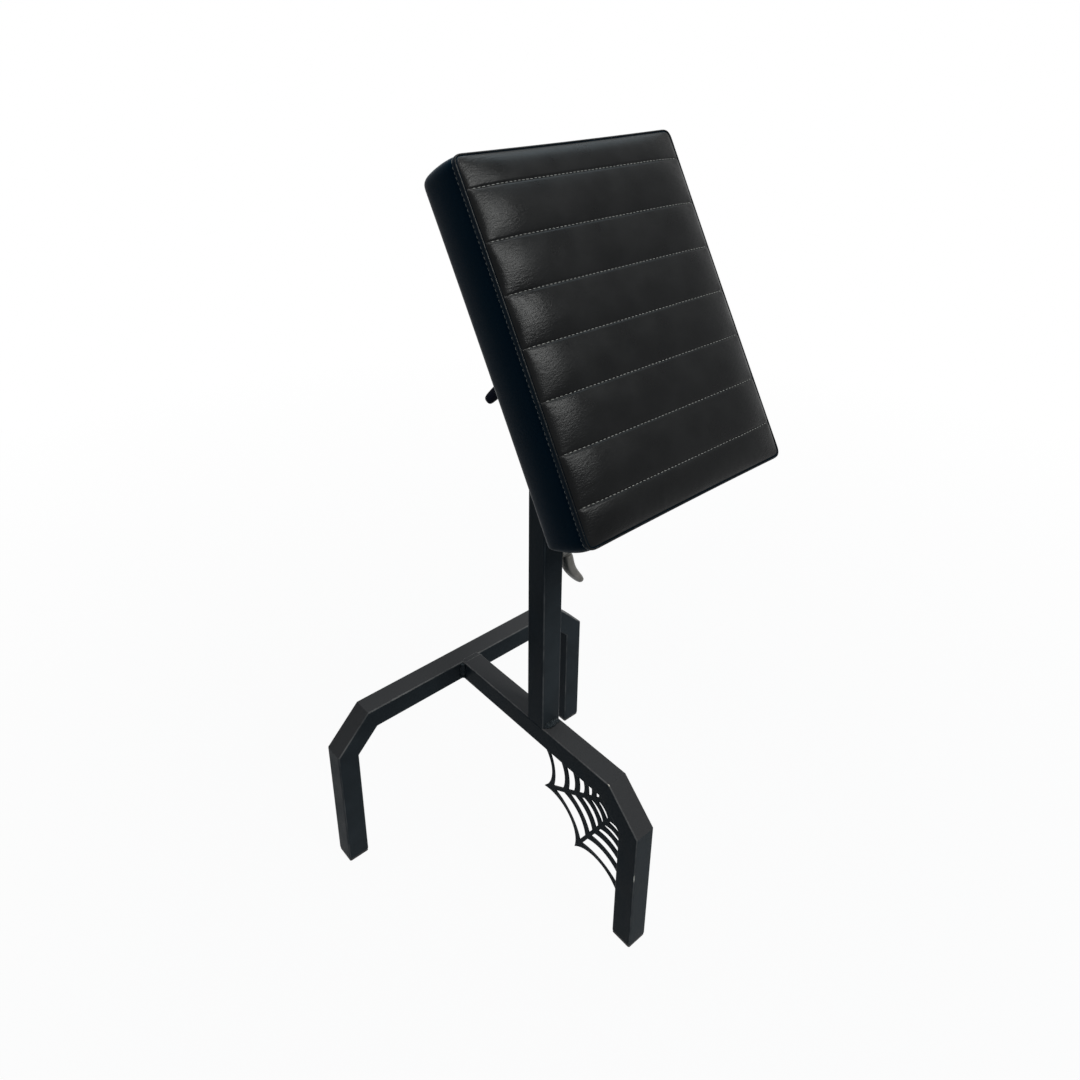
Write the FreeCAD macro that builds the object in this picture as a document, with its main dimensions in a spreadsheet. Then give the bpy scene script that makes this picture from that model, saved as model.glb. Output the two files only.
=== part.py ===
# Tattoo arm rest stand: a three legged base of square tube, a telescoping post and a tilting pad.
# Frame: origin on the floor under the middle of the stand, +X to its right, +Y to its back, +Z up.
import FreeCAD, Part
import math
import os
import re
import Sketcher
from FreeCAD import Placement, Rotation, Vector

doc = FreeCAD.newDocument("armRestStand")
sheet = doc.addObject("Spreadsheet::Sheet", "sizes")

# driving sizes, lengths in millimetres and angles in degrees
drivingSizes = {
    # base frame of square tube
    "tubeWidth": 38,
    "tubeWall": 2,
    "tubeCorner": 3,
    "baseWidth": 560,
    "baseHeight": 305,
    "stemReach": 446,      # cross bar axis to the front leg's outer face
    "cornerDrop": 62,      # drop and run of each 45 degree corner tube
    "crossBack": 229.4,    # origin to the cross bar axis
    "cutOverrun": 5,
    # foot caps
    "footHeight": 5,
    "footDraft": 0.5,      # the foot is this much inside the tube's faces
    "plugDepth": 22,
    "plugWall": 2.5,
    "plugFit": 0.1,
    # outer post and its guide bush
    "postSetback": 215,    # cross bar axis to the post axis
    "bushFlange": 3,
    "bushDepth": 40,
    # spider web gusset plate
    "webThickness": 3,
    "webReach": 210,       # hub to the tips of the spokes
    "webHubInset": 4,
    "spokeWidth": 7,
    # weld beads
    "weldLeg": 4.5,
    "tackLeg": 3,
    "tackLength": 22,
    # telescoping inner post
    "mastWidth": 32,
    "mastWall": 2,
    "mastCorner": 2.5,
    "mastFit": 0.1,
    "glideHeight": 14,
    "mastTravel": 150,     # room under the glide for lowering the pad
    # pivot head on the inner post
    "pivotHeight": 949,
    "pivotDrop": 30,       # pivot axis to the inner post's top
    "knuckleWidth": 38,
    "knuckleRadius": 18,
    "knucklePlug": 25,
    # tilting bracket
    "tiltAngle": 60,       # pad face from level, as it stands
    "earReach": 95,        # pivot axis to the pad's back
    "earThickness": 5,
    "earRadius": 20,
    "earFootWidth": 84,
    "plateWidth": 150,
    "plateLength": 120,
    "plateThickness": 4,
    "plateCorner": 12,
    "bridgeHeight": 34,
    "bridgeThickness": 4,
    "frictionThickness": 1.5,
    "frictionRadius": 16,
    "jointGap": 0.3,
    # clamp screws
    "studRadius": 4,
    "pinFit": 0.08,
    "nutHeight": 8,
    "nutRadius": 8.5,
    "wallHoleClearance": 0.4,
    "thrustTipLength": 2,
    "thrustTipRadius": 3.6,
    "seatGap": 1,          # lever hub off the weld nut
    "washerThickness": 2,
    "washerRadius": 9.5,
    # clamp levers
    "heightLeverDrop": 147,  # clamp screw below the outer post's top
    "heightLeverLean": 8,  # forward of straight down
    "tiltLeverDrop": 53,   # below level, pointing back
    "leverReach": 70,
    "hubHeight": 33,
    "hubRadius": 9.5,
    "hubChamfer": 1.2,
    "armWidth": 16,
    "armThickness": 11,
    "insertRadius": 6.5,
    "insertHeight": 12,
    "toothDepth": 0.8,
    "toothFit": 0.1,
    "shoulderThickness": 5,
    "liftTravel": 3.5,
    "screwRadius": 2.5,
    "screwHeadRadius": 4.75,
    "screwHeadHeight": 4,
    "screwSink": 1,        # screw head below the hub's top
    "springRadius": 4.6,
    "boreClearance": 0.3,
    # pad
    "padWidth": 350,
    "padLength": 450,
    "padDepth": 76,        # face seam to the back
    "padCorner": 12,
    "backRoll": 13,
    "sideBulge": 6,
    "sidePull": 1,
    "crownRise": 12.5,
    "seamRise": 8.5,       # height of the channel seams over the face seam
    "crownEdge": 60,       # run in from the face seam to the flat of the crown
    "channelPitch": 61,
    "channelShift": 3,
    "foamWidth": 340,
    "foamLength": 440,
    "foamThickness": 52,
    "foamCorner": 8,
    "boardWidth": 300,
    "boardLength": 400,
    "boardThickness": 15,
    "boardCorner": 10,
    "clothThickness": 1,
    # pad fasteners
    "boltSpacingX": 120,
    "boltSpacingY": 90,
    "boltRadius": 3,
    "boltFit": 0.25,
    "boltHeadRadius": 5.8,
    "boltHeadHeight": 4,
    "boltLength": 18,
    "nutPlateWidth": 17,
    "nutPlateThickness": 4,
}
for row, (alias, amount) in enumerate(drivingSizes.items(), start=1):
    sheet.set(f"A{row}", alias)
    sheet.set(f"B{row}", str(amount))
    sheet.setAlias(f"B{row}", alias)
doc.recompute()

# counts and shares of the sizes above
postShare = 0.714285714    # the outer post's part of the way from the base to the pivot
channelSeams = 7
insertTeeth = 8
tackShare = 0.6        # along each welded edge of the gusset
webSectors = 3
spokeAngle = 30
mitre = "tan(22.5 deg)"
diagonal = "sqrt(0.5)"
arcShare = 1 - math.sqrt(0.5)
sizePattern = re.compile(r"\b(" + "|".join(drivingSizes) + r")\b")
nodes = []


# a size text tied to the sheet, and its number
def tied(text):
    return sizePattern.sub(r"sizes.\1", text)


def number(text):
    return float(sheet.evalExpression(tied(text)))


def bind(thing, **texts):
    for name, text in texts.items():
        thing.setExpression(name, tied(text))
    return thing


# places a piece by its base point and the directions of its own X and Z axes
def place(thing, base, along=(0, 0, 1), outward=(1, 0, 0)):
    zAxis = Vector(*along).normalize()
    xAxis = Vector(*outward).normalize()
    thing.Placement = Placement(Vector(), Rotation(xAxis, zAxis.cross(xAxis), zAxis, "ZXY"))
    for axis, text in zip("xyz", base):
        thing.setExpression(f"Placement.Base.{axis}", tied(text))
    return thing


# names a finished piece as one node of the stand
def node(thing, name):
    thing.Label = name
    nodes.append(thing)
    return thing


# sketch helpers: every point is locked to a pair of size texts
def newBody(name):
    return doc.addObject("PartDesign::Body", name)


def sketchOn(body, role, lift="0"):
    sketch = body.newObject("Sketcher::SketchObject", body.Name + "Sketch")
    plane = next(feature for feature in body.Origin.OriginFeatures if feature.Role == role)
    sketch.AttachmentSupport = (plane, [""])
    sketch.MapMode = "FlatFace"
    sketch.setExpression("AttachmentOffset.Base.z", tied(lift))
    return sketch


def spot(pair):
    return Vector(number(pair[0]), number(pair[1]), 0)


def lockPoint(sketch, geometry, end, pair):
    for kind, otherAxis, text in (("DistanceX", -2, pair[0]), ("DistanceY", -1, pair[1])):
        if text == "0":
            sketch.addConstraint(Sketcher.Constraint("PointOnObject", geometry, end, otherAxis))
            continue
        index = sketch.addConstraint(Sketcher.Constraint(kind, geometry, end, number(text)))
        sketch.setExpression(f"Constraints[{index}]", tied(text))


# closed loop through the corners; bows holds the place that an arc passes after a corner
def outline(sketch, corners, bows=None):
    bows = bows or {}
    pieces = []
    for index, corner in enumerate(corners):
        start = spot(corner)
        finish = spot(corners[(index + 1) % len(corners)])
        if index not in bows:
            pieces.append((sketch.addGeometry(Part.LineSegment(start, finish), False), 1, 2))
            continue
        middle = spot(bows[index])
        circle = Part.Circle(start, middle, finish)
        flat = Part.Circle(circle.Center, Vector(0, 0, 1), circle.Radius)
        toStart = start - circle.Center
        toFinish = finish - circle.Center
        first = math.atan2(toStart.y, toStart.x)
        last = math.atan2(toFinish.y, toFinish.x)
        turnsLeft = (middle - start).cross(finish - middle).z > 0
        if turnsLeft:
            pieces.append((sketch.addGeometry(Part.ArcOfCircle(flat, first, last), False), 1, 2))
        else:
            pieces.append((sketch.addGeometry(Part.ArcOfCircle(flat, last, first), False), 2, 1))
    for index, (geometry, start, finish) in enumerate(pieces):
        nextGeometry, nextStart, _ = pieces[(index + 1) % len(pieces)]
        sketch.addConstraint(Sketcher.Constraint("Coincident", geometry, finish, nextGeometry, nextStart))
    for (geometry, start, _), corner in zip(pieces, corners):
        lockPoint(sketch, geometry, start, corner)
    for index, pair in bows.items():
        guide = sketch.addGeometry(Part.Point(spot(pair)), True)
        lockPoint(sketch, guide, 1, pair)
        sketch.addConstraint(Sketcher.Constraint("PointOnObject", guide, 1, pieces[index][0]))
    return sketch


def ring(sketch, radius, x="0", y="0"):
    geometry = sketch.addGeometry(Part.Circle(spot((x, y)), Vector(0, 0, 1), number(radius)), False)
    lockPoint(sketch, geometry, 3, (x, y))
    index = sketch.addConstraint(Sketcher.Constraint("Radius", geometry, number(radius)))
    sketch.setExpression(f"Constraints[{index}]", tied(radius))
    return sketch


def rectangle(sketch, halfX, halfY, x="0", y="0"):
    left, right = f"{x} - ({halfX})", f"{x} + ({halfX})"
    low, high = f"{y} - ({halfY})", f"{y} + ({halfY})"
    return outline(sketch, [(left, low), (right, low), (right, high), (left, high)])


# rectangle with round corners, whose sides are drawn in by pull at their middles
def roundedRectangle(sketch, halfX, halfY, radius, pull=None):
    x, y, r = f"({halfX})", f"({halfY})", f"({radius})"
    bend = f"({radius}) * {arcShare}"
    corners = [(f"-({x} - {r})", f"-{y}"), (f"{x} - {r}", f"-{y}"),
               (x, f"-({y} - {r})"), (x, f"{y} - {r}"),
               (f"{x} - {r}", y), (f"-({x} - {r})", y),
               (f"-{x}", f"{y} - {r}"), (f"-{x}", f"-({y} - {r})")]
    bows = {1: (f"{x} - {bend}", f"-({y} - {bend})"), 3: (f"{x} - {bend}", f"{y} - {bend}"),
            5: (f"-({x} - {bend})", f"{y} - {bend}"), 7: (f"-({x} - {bend})", f"-({y} - {bend})")}
    if pull:
        bows.update({0: ("0", f"-({y} - {pull})"), 2: (f"{x} - {pull}", "0"),
                     4: ("0", f"{y} - {pull}"), 6: (f"-({x} - {pull})", "0")})
    return outline(sketch, corners, bows)


# features of a body
def extrude(body, sketch, length, symmetric=False):
    feature = body.newObject("PartDesign::Pad", body.Name + "Pad")
    feature.Profile = sketch
    feature.SideType = "Symmetric" if symmetric else "One side"
    return bind(feature, Length=length)


def cut(body, sketch, depth=None, forward=False):
    before = solidVolume(body)
    feature = body.newObject("PartDesign::Pocket", body.Name + "Pocket")
    feature.Profile = sketch
    if depth is None:
        feature.Type = "ThroughAll"
        feature.SideType = "Symmetric"
    else:
        feature.Reversed = forward
        bind(feature, Length=depth)
    if solidVolume(body) >= before:
        raise RuntimeError(f"{feature.Name} cuts nothing")
    return feature


def solidVolume(body):
    doc.recompute()
    return body.Shape.Volume


def loftBetween(body, sketches):
    feature = body.newObject("PartDesign::AdditiveLoft", body.Name + "Loft")
    feature.Profile = sketches[0]
    feature.Sections = sketches[1:]
    feature.Ruled = True
    return feature


def cylinder(name, radius, height):
    return bind(doc.addObject("Part::Cylinder", name), Radius=radius, Height=height)


def cone(name, baseRadius, topRadius, height):
    return bind(doc.addObject("Part::Cone", name), Radius1=baseRadius, Radius2=topRadius, Height=height)


def prism(name, radius, height, sides=6):
    blank = bind(doc.addObject("Part::Prism", name), Circumradius=radius, Height=height)
    blank.Polygon = sides
    return blank


def fuse(name, things):
    whole = doc.addObject("Part::MultiFuse", name)
    whole.Shapes = things
    whole.Refine = True
    return whole


def subtract(name, base, tool):
    rest = doc.addObject("Part::Cut", name)
    rest.Base = base
    rest.Tool = tool
    return rest


def group(name, things):
    whole = doc.addObject("Part::Compound", name)
    whole.Links = things
    return whole


# places that several pieces share
crossY = "crossBack"
frontY = "(crossBack - stemReach)"
postY = "(crossBack - postSetback)"
postLength = f"({postShare} * (pivotHeight - baseHeight))"
mastLength = "(pivotHeight - pivotDrop - baseHeight - mastTravel - glideHeight)"
heightClampZ = f"(baseHeight + {postLength} - heightLeverDrop)"
frameTop = "(baseHeight - tubeWidth / 2)"
legTop = "(baseHeight - cornerDrop)"
innerCorner = "(cornerDrop - tubeWidth + tubeWidth * tan(22.5 deg))"


# square tube along its own Z, its longer outer face on +X, with 22.5 degree mitres where asked
def squareTube(name, width, wall, corner, length, startMitre=False, endMitre=False):
    body = newBody(name)
    section = sketchOn(body, "XY_Plane")
    roundedRectangle(section, f"{width} / 2", f"{width} / 2", corner)
    rectangle(section, f"{width} / 2 - {wall}", f"{width} / 2 - {wall}")
    extrude(body, section, length)
    far, near = f"({width} / 2 + cutOverrun)", f"cutOverrun * {mitre}"
    deep = f"({width} + cutOverrun) * {mitre}"
    if startMitre:
        waste = [(far, f"-({near})"), (f"-{far}", deep), (f"-{far}", "-cutOverrun"), (far, "-cutOverrun")]
        cut(body, outline(sketchOn(body, "XZ_Plane"), waste))
    if endMitre:
        waste = [(far, f"{length} + {near}"), (far, f"{length} + cutOverrun"),
                 (f"-{far}", f"{length} + cutOverrun"), (f"-{far}", f"{length} - {deep}")]
        cut(body, outline(sketchOn(body, "XZ_Plane"), waste))
    return node(body, name)


def frameTube(name, length, base, along, outward, startMitre=False, endMitre=False):
    tube = squareTube(name, "tubeWidth", "tubeWall", "tubeCorner", length, startMitre, endMitre)
    return place(tube, base, along, outward)


# base frame
def makeBaseFrame():
    halfDiagonal = f"tubeWidth / 2 * {diagonal}"
    diagonalLength = "cornerDrop * sqrt(2)"
    frameTube("cross_bar", "(baseWidth - 2 * cornerDrop)",
              ("-baseWidth / 2 + cornerDrop", crossY, frameTop), (1, 0, 0), (0, 0, 1), True, True)
    frameTube("stem_bar", "(stemReach - cornerDrop - tubeWidth / 2)",
              ("0", f"{crossY} - tubeWidth / 2", frameTop), (0, -1, 0), (0, 0, 1), False, True)
    for name, side in (("left", -1), ("right", 1)):
        frameTube(f"{name}_corner_tube", diagonalLength,
                  (f"{side} * (baseWidth / 2 - {halfDiagonal})", crossY, f"{legTop} - {halfDiagonal}"),
                  (-side, 0, 1), (side, 0, 1), True, True)
        frameTube(f"{name}_leg_tube", f"({legTop} - footHeight)",
                  (f"{side} * (baseWidth / 2 - tubeWidth / 2)", crossY, "footHeight"),
                  (0, 0, 1), (side, 0, 0), False, True)
    frameTube("front_corner_tube", diagonalLength,
              ("0", f"{frontY} + {halfDiagonal}", f"{legTop} - {halfDiagonal}"),
              (0, 1, 1), (0, -1, 1), True, True)
    frameTube("front_leg_tube", f"({legTop} - footHeight)", ("0", f"{frontY} + tubeWidth / 2", "footHeight"),
              (0, 0, 1), (0, -1, 0), False, True)


# moulded cap: a foot under the tube and a hollow plug inside it
def makeFootCap(name, x, y):
    body = newBody(name)
    foot = "(tubeWidth / 2 - footDraft)"
    extrude(body, roundedRectangle(sketchOn(body, "XY_Plane"), foot, foot, "tubeCorner"), "footHeight")
    half = "(tubeWidth / 2 - tubeWall - plugFit)"
    extrude(body, rectangle(sketchOn(body, "XY_Plane", "footHeight"), half, half), "plugDepth")
    hollow = sketchOn(body, "XY_Plane", "footHeight + plugDepth")
    cut(body, rectangle(hollow, f"{half} - plugWall", f"{half} - plugWall"), "plugDepth")
    return place(node(body, name), (x, y, "0"))


def makeFootCaps():
    legX = "(baseWidth / 2 - tubeWidth / 2)"
    makeFootCap("left_foot_cap", f"-{legX}", crossY)
    makeFootCap("right_foot_cap", legX, crossY)
    makeFootCap("front_foot_cap", "0", f"{frontY} + tubeWidth / 2")


# outer post with the hole for the clamp screw in its right wall
def makeOuterPost():
    post = squareTube("post_outer_tube", "tubeWidth", "tubeWall", "tubeCorner", postLength)
    hole = sketchOn(post, "YZ_Plane", "tubeWidth / 2 + cutOverrun")
    cut(post, ring(hole, "studRadius + wallHoleClearance", "0", f"{postLength} - heightLeverDrop"),
        "tubeWall + 2 * cutOverrun")
    place(post, ("0", postY, "baseHeight"))

    bush = newBody("post_guide_bush")
    flange = roundedRectangle(sketchOn(bush, "XY_Plane"), "tubeWidth / 2", "tubeWidth / 2", "tubeCorner")
    extrude(bush, flange, "bushFlange")
    half = "tubeWidth / 2 - tubeWall - plugFit"
    extrude(bush, rectangle(sketchOn(bush, "XY_Plane", "-bushDepth"), half, half), "bushDepth")
    hole = sketchOn(bush, "XY_Plane")
    cut(bush, roundedRectangle(hole, "mastWidth / 2 + mastFit", "mastWidth / 2 + mastFit", "mastCorner"))
    place(node(bush, "post_guide_bush"), ("0", postY, f"baseHeight + {postLength}"))


# ring widths and bow of the web as shares of its reach: mid and spoke radii of each opening's two arcs
outerBowShare = 0.817
openingShares = [(0.664, 0.743, 0.795, 0.871), (0.545, 0.600, 0.624, 0.676), (0.436, 0.483, 0.498, 0.538),
                 (0.352, 0.388, 0.398, 0.419), (0.274, 0.295, 0.314, 0.329)]


def polar(share, angle):
    return f"webReach * {share} * cos({angle} deg)", f"webReach * {share} * sin({angle} deg)"


# web plate in the corner of stem and front leg, drawn about the hub of its spokes
def makeWebGusset():
    body = newBody("web_gusset")
    plate = sketchOn(body, "XY_Plane")
    inset, inner = "webHubInset", f"{innerCorner} - webHubInset"
    corners = [("webReach", f"-{inset}"), ("webReach", "0"), polar(1, spokeAngle), polar(1, 2 * spokeAngle),
               ("0", "webReach"), (f"-{inset}", "webReach"), (f"-{inset}", inner), (inner, f"-{inset}")]
    bows = {step + 1: polar(outerBowShare, (step + 0.5) * spokeAngle) for step in range(webSectors)}
    extrude(body, outline(plate, corners, bows), "webThickness", True)

    openings = sketchOn(body, "XY_Plane")
    tilt = f"{spokeAngle} deg"
    for midInner, endInner, midOuter, endOuter in openingShares:
        flat = [(f"webReach * {end}", "spokeWidth / 2") for end in (endInner, endOuter)]
        raised = [(f"webReach * {end} * cos({tilt}) + spokeWidth / 2 * sin({tilt})",
                   f"webReach * {end} * sin({tilt}) - spokeWidth / 2 * cos({tilt})")
                  for end in (endOuter, endInner)]
        bows = {1: polar(midOuter, spokeAngle / 2), 3: polar(midInner, spokeAngle / 2)}
        outline(openings, flat + raised, bows)
    pocket = cut(body, openings)
    before = solidVolume(body)
    pattern = body.newObject("PartDesign::PolarPattern", "web_gussetPattern")
    pattern.Originals = [pocket]
    pattern.Axis = (next(feature for feature in body.Origin.OriginFeatures if feature.Role == "Z_Axis"), [""])
    pattern.Angle = (webSectors - 1) * spokeAngle
    pattern.Occurrences = webSectors
    body.Tip = pattern
    if solidVolume(body) >= before:
        raise RuntimeError("the web's sectors are not cut")
    place(node(body, "web_gusset"),
          ("0", f"{frontY} + tubeWidth + webHubInset", "baseHeight - tubeWidth - webHubInset"),
          (-1, 0, 0), (0, 1, 0))


# quarter round weld bead in a corner: runs along its own Z and fills between +X and +Y
def bead(name, leg, length, base, along, outward):
    rod = cylinder(name, leg, length)
    rod.Angle = 90
    return place(rod, base, along, outward)


def makeWeldBeads():
    half = "tubeWidth / 2"
    run = "(tubeWidth - 2 * tubeCorner)"
    low = "baseHeight - tubeWidth + tubeCorner"
    beads = [
        bead("stemBeadLeft", "weldLeg", run, (f"-{half}", f"{crossY} - {half}", low), (0, 0, 1), (-1, 0, 0)),
        bead("stemBeadRight", "weldLeg", run, (half, f"{crossY} - {half}", low), (0, 0, 1), (0, -1, 0)),
        bead("postBeadFront", "weldLeg", run, (f"-{run} / 2", f"{postY} - {half}", "baseHeight"),
             (1, 0, 0), (0, 0, 1)),
        bead("postBeadBack", "weldLeg", run, (f"-{run} / 2", f"{postY} + {half}", "baseHeight"),
             (1, 0, 0), (0, 1, 0))]
    stemUnder = "baseHeight - tubeWidth"
    legFace = f"{frontY} + tubeWidth"
    for side, sense in (("Left", -1), ("Right", 1)):
        face = f"{sense} * webThickness / 2"
        first = (face, f"{legFace} + webReach * {tackShare} - tackLength / 2", stemUnder)
        beads.append(bead(f"stemTack{side}", "tackLeg", "tackLength", first, (0, 1, 0),
                          (sense, 0, 0) if sense > 0 else (0, 0, -1)))
        second = (face, legFace, f"{stemUnder} - webReach * {tackShare} - tackLength / 2")
        beads.append(bead(f"legTack{side}", "tackLeg", "tackLength", second, (0, 0, 1),
                          (sense, 0, 0) if sense > 0 else (0, 1, 0)))
    node(group("frame_weld_beads", beads), "frame_weld_beads")


# inner post, its bottom glide and the knuckle on its top
def makeInnerPost():
    bottom = f"(pivotHeight - pivotDrop - {mastLength})"
    tube = squareTube("inner_post_tube", "mastWidth", "mastWall", "mastCorner", mastLength)
    place(tube, ("0", postY, bottom))

    glide = newBody("inner_post_glide")
    half = "(tubeWidth / 2 - tubeWall - mastFit)"
    shoe = roundedRectangle(sketchOn(glide, "XY_Plane", "-glideHeight"), half, half, "mastCorner")
    extrude(glide, shoe, "glideHeight")
    plug = "(mastWidth / 2 - mastWall - plugFit)"
    extrude(glide, rectangle(sketchOn(glide, "XY_Plane"), plug, plug), "glideHeight")
    place(node(glide, "inner_post_glide"), ("0", postY, bottom))

    knuckle = newBody("pivot_knuckle")
    side = sketchOn(knuckle, "YZ_Plane")
    outline(side, [("-mastWidth / 2", "-pivotDrop"), ("mastWidth / 2", "-pivotDrop"), ("knuckleRadius", "0"),
                   ("-knuckleRadius", "0")], {2: ("0", "knuckleRadius")})
    extrude(knuckle, side, "knuckleWidth", True)
    spigot = rectangle(sketchOn(knuckle, "XY_Plane", "-pivotDrop - knucklePlug"), plug, plug)
    extrude(knuckle, spigot, "knucklePlug")
    cut(knuckle, ring(sketchOn(knuckle, "YZ_Plane"), "studRadius + pinFit"))
    place(node(knuckle, "pivot_knuckle"), ("0", postY, "pivotHeight"))


# places a piece of the tilting head: x across, along up the pad and out of its face, from the pivot
def placeOnHead(thing, x="0", along="0", out="0", axis=None):
    turn = Rotation(Vector(1, 0, 0), number("tiltAngle"))
    local = Rotation(*axis) if axis else Rotation()
    thing.Placement = Placement(Vector(), turn.multiply(local))
    cosine, sine = "cos(tiltAngle * 1 deg)", "sin(tiltAngle * 1 deg)"
    thing.setExpression("Placement.Base.x", tied(x))
    thing.setExpression("Placement.Base.y", tied(f"{postY} + ({along}) * {cosine} - ({out}) * {sine}"))
    thing.setExpression("Placement.Base.z", tied(f"pivotHeight + ({along}) * {sine} + ({out}) * {cosine}"))
    return thing


earInner = "(knuckleWidth / 2 + jointGap + frictionThickness)"
earOuter = "(knuckleWidth / 2 + jointGap + frictionThickness + earThickness)"
plateLevel = "(earReach - plateThickness)"
boltPlaces = [(f"{sideX} * boltSpacingX / 2", f"{sideY} * boltSpacingY / 2")
              for sideX in (-1, 1) for sideY in (-1, 1)]
sideways = (Vector(0, 1, 0), 90)


# bracket that carries the pad: two ears on the pivot, a bridge between them and the screwed plate
def makeTiltBracket():
    plate = newBody("pad_mount_plate")
    face = roundedRectangle(sketchOn(plate, "XY_Plane"), "plateWidth / 2", "plateLength / 2", "plateCorner")
    for x, y in boltPlaces:
        ring(face, "boltRadius + boltFit", x, y)
    extrude(plate, face, "plateThickness")
    placeOnHead(node(plate, "pad_mount_plate"), out=plateLevel)

    for name, start in (("left_tilt_ear", f"-{earOuter}"), ("right_tilt_ear", earInner)):
        ear = newBody(name)
        shape = sketchOn(ear, "YZ_Plane", start)
        outline(shape, [("-earFootWidth / 2", plateLevel), ("-earRadius", "0"), ("earRadius", "0"),
                        ("earFootWidth / 2", plateLevel)], {1: ("0", "-earRadius")})
        ring(shape, "studRadius + pinFit")
        extrude(ear, shape, "earThickness")
        placeOnHead(node(ear, name))

    bridge = newBody("ear_bridge")
    wall = sketchOn(bridge, "XZ_Plane")
    foot = f"{plateLevel} - bridgeHeight"
    outline(wall, [(f"-{earInner}", foot), (earInner, foot), (earInner, plateLevel),
                   (f"-{earInner}", plateLevel)])
    extrude(bridge, wall, "bridgeThickness", True)
    placeOnHead(node(bridge, "ear_bridge"))

    discs = []
    for side, start in (("Left", f"-{earInner}"), ("Right", "knuckleWidth / 2 + jointGap")):
        blank = prism(f"frictionBlank{side}", "frictionRadius", "frictionThickness", 8)
        bore = cylinder(f"frictionBore{side}", "studRadius + pinFit", "frictionThickness")
        disc = subtract(f"frictionDisc{side}", blank, bore)
        discs.append(placeOnHead(disc, x=start, axis=sideways))
    node(group("friction_discs", discs), "friction_discs")
    placeOnHead(weldNut("tilt_weld_nut"), x=earOuter, axis=sideways)


def weldNut(name):
    bore = cylinder(name + "Bore", "studRadius + pinFit", "nutHeight")
    return node(subtract(name, prism(name + "Blank", "nutRadius", "nutHeight"), bore), name)


# pad: board, foam block, sewn cover and backing cloth, all drawn from the face seam's plane
boardLevel = "(clothThickness - padDepth)"
foamLevel = "(clothThickness + boardThickness - padDepth)"
seamLevel = "(earReach + padDepth)"
bulgeShares = [(0.4, 1.0), (0.15, 0.7), (0, 0)]                      # depth below the seam and bulge
crownShares = [(0.42, 0.08), (0.80, 0.28), (1.0, 0.75)]   # rise and run in from the seam


def padOutline(body, level, inset):
    return roundedRectangle(sketchOn(body, "XY_Plane", level), f"padWidth / 2 - ({inset})",
                            f"padLength / 2 - ({inset})", "padCorner", "sidePull")


def makePadCover():
    cover = newBody("pad_cover")
    rolls = [(f"backRoll * {1 - math.cos(math.radians(turn))} - padDepth",
              f"backRoll * {1 - math.sin(math.radians(turn))} - sideBulge * {share}")
             for turn, share in ((0, 0.8), (45, 0.85), (90, 0.94))]
    sides = rolls + [(f"-padDepth * {depth}", f"-sideBulge * {share}") for depth, share in bulgeShares]
    loftBetween(cover, [padOutline(cover, level, inset) for level, inset in sides])
    crown = [("0", "0")] + [(f"crownRise * {rise}", f"crownEdge * {run}") for rise, run in crownShares]
    loftBetween(cover, [padOutline(cover, level, inset) for level, inset in crown])

    channels = sketchOn(cover, "YZ_Plane")
    edge = "(padLength / 2 + sideBulge + cutOverrun)"
    seams = [f"channelShift + channelPitch * {step - (channelSeams - 1) / 2}" for step in range(channelSeams)]
    corners = [(f"-{edge}", "seamRise")] + [(seam, "seamRise") for seam in seams] + [(edge, "seamRise")]
    bows = {index: (f"(({corners[index][0]}) + ({corners[index + 1][0]})) / 2", "crownRise")
            for index in range(channelSeams + 1)}
    top = "crownRise + cutOverrun"
    cut(cover, outline(channels, corners + [(edge, top), (f"-{edge}", top)], bows))

    recess = sketchOn(cover, "XY_Plane", "-padDepth")
    cut(cover, roundedRectangle(recess, "boardWidth / 2", "boardLength / 2", "boardCorner"),
        "clothThickness + boardThickness", True)
    pocket = sketchOn(cover, "XY_Plane", foamLevel)
    roundedRectangle(pocket, "foamWidth / 2", "foamLength / 2", "foamCorner")
    cut(cover, pocket, "foamThickness", True)
    placeOnHead(node(cover, "pad_cover"), out=seamLevel)


def makePadCore():
    foam = newBody("foam_block")
    face = sketchOn(foam, "XY_Plane", foamLevel)
    extrude(foam, roundedRectangle(face, "foamWidth / 2", "foamLength / 2", "foamCorner"), "foamThickness")
    placeOnHead(node(foam, "foam_block"), out=seamLevel)

    board = newBody("pad_board")
    sheetFace = sketchOn(board, "XY_Plane", boardLevel)
    roundedRectangle(sheetFace, "boardWidth / 2", "boardLength / 2", "boardCorner")
    for x, y in boltPlaces:
        ring(sheetFace, "boltRadius + boltFit", x, y)
    extrude(board, sheetFace, "boardThickness")
    sinks = sketchOn(board, "XY_Plane", foamLevel)
    for x, y in boltPlaces:
        rectangle(sinks, "nutPlateWidth / 2", "nutPlateWidth / 2", x, y)
    cut(board, sinks, "nutPlateThickness")
    placeOnHead(node(board, "pad_board"), out=seamLevel)

    cloth = newBody("back_cloth")
    weave = roundedRectangle(sketchOn(cloth, "XY_Plane", "-padDepth"), "boardWidth / 2", "boardLength / 2",
                             "boardCorner")
    for x, y in boltPlaces:
        rectangle(weave, "boltRadius + boltFit", "boltRadius + boltFit", x, y)
    extrude(cloth, weave, "clothThickness")
    placeOnHead(node(cloth, "back_cloth"), out=seamLevel)


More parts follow.
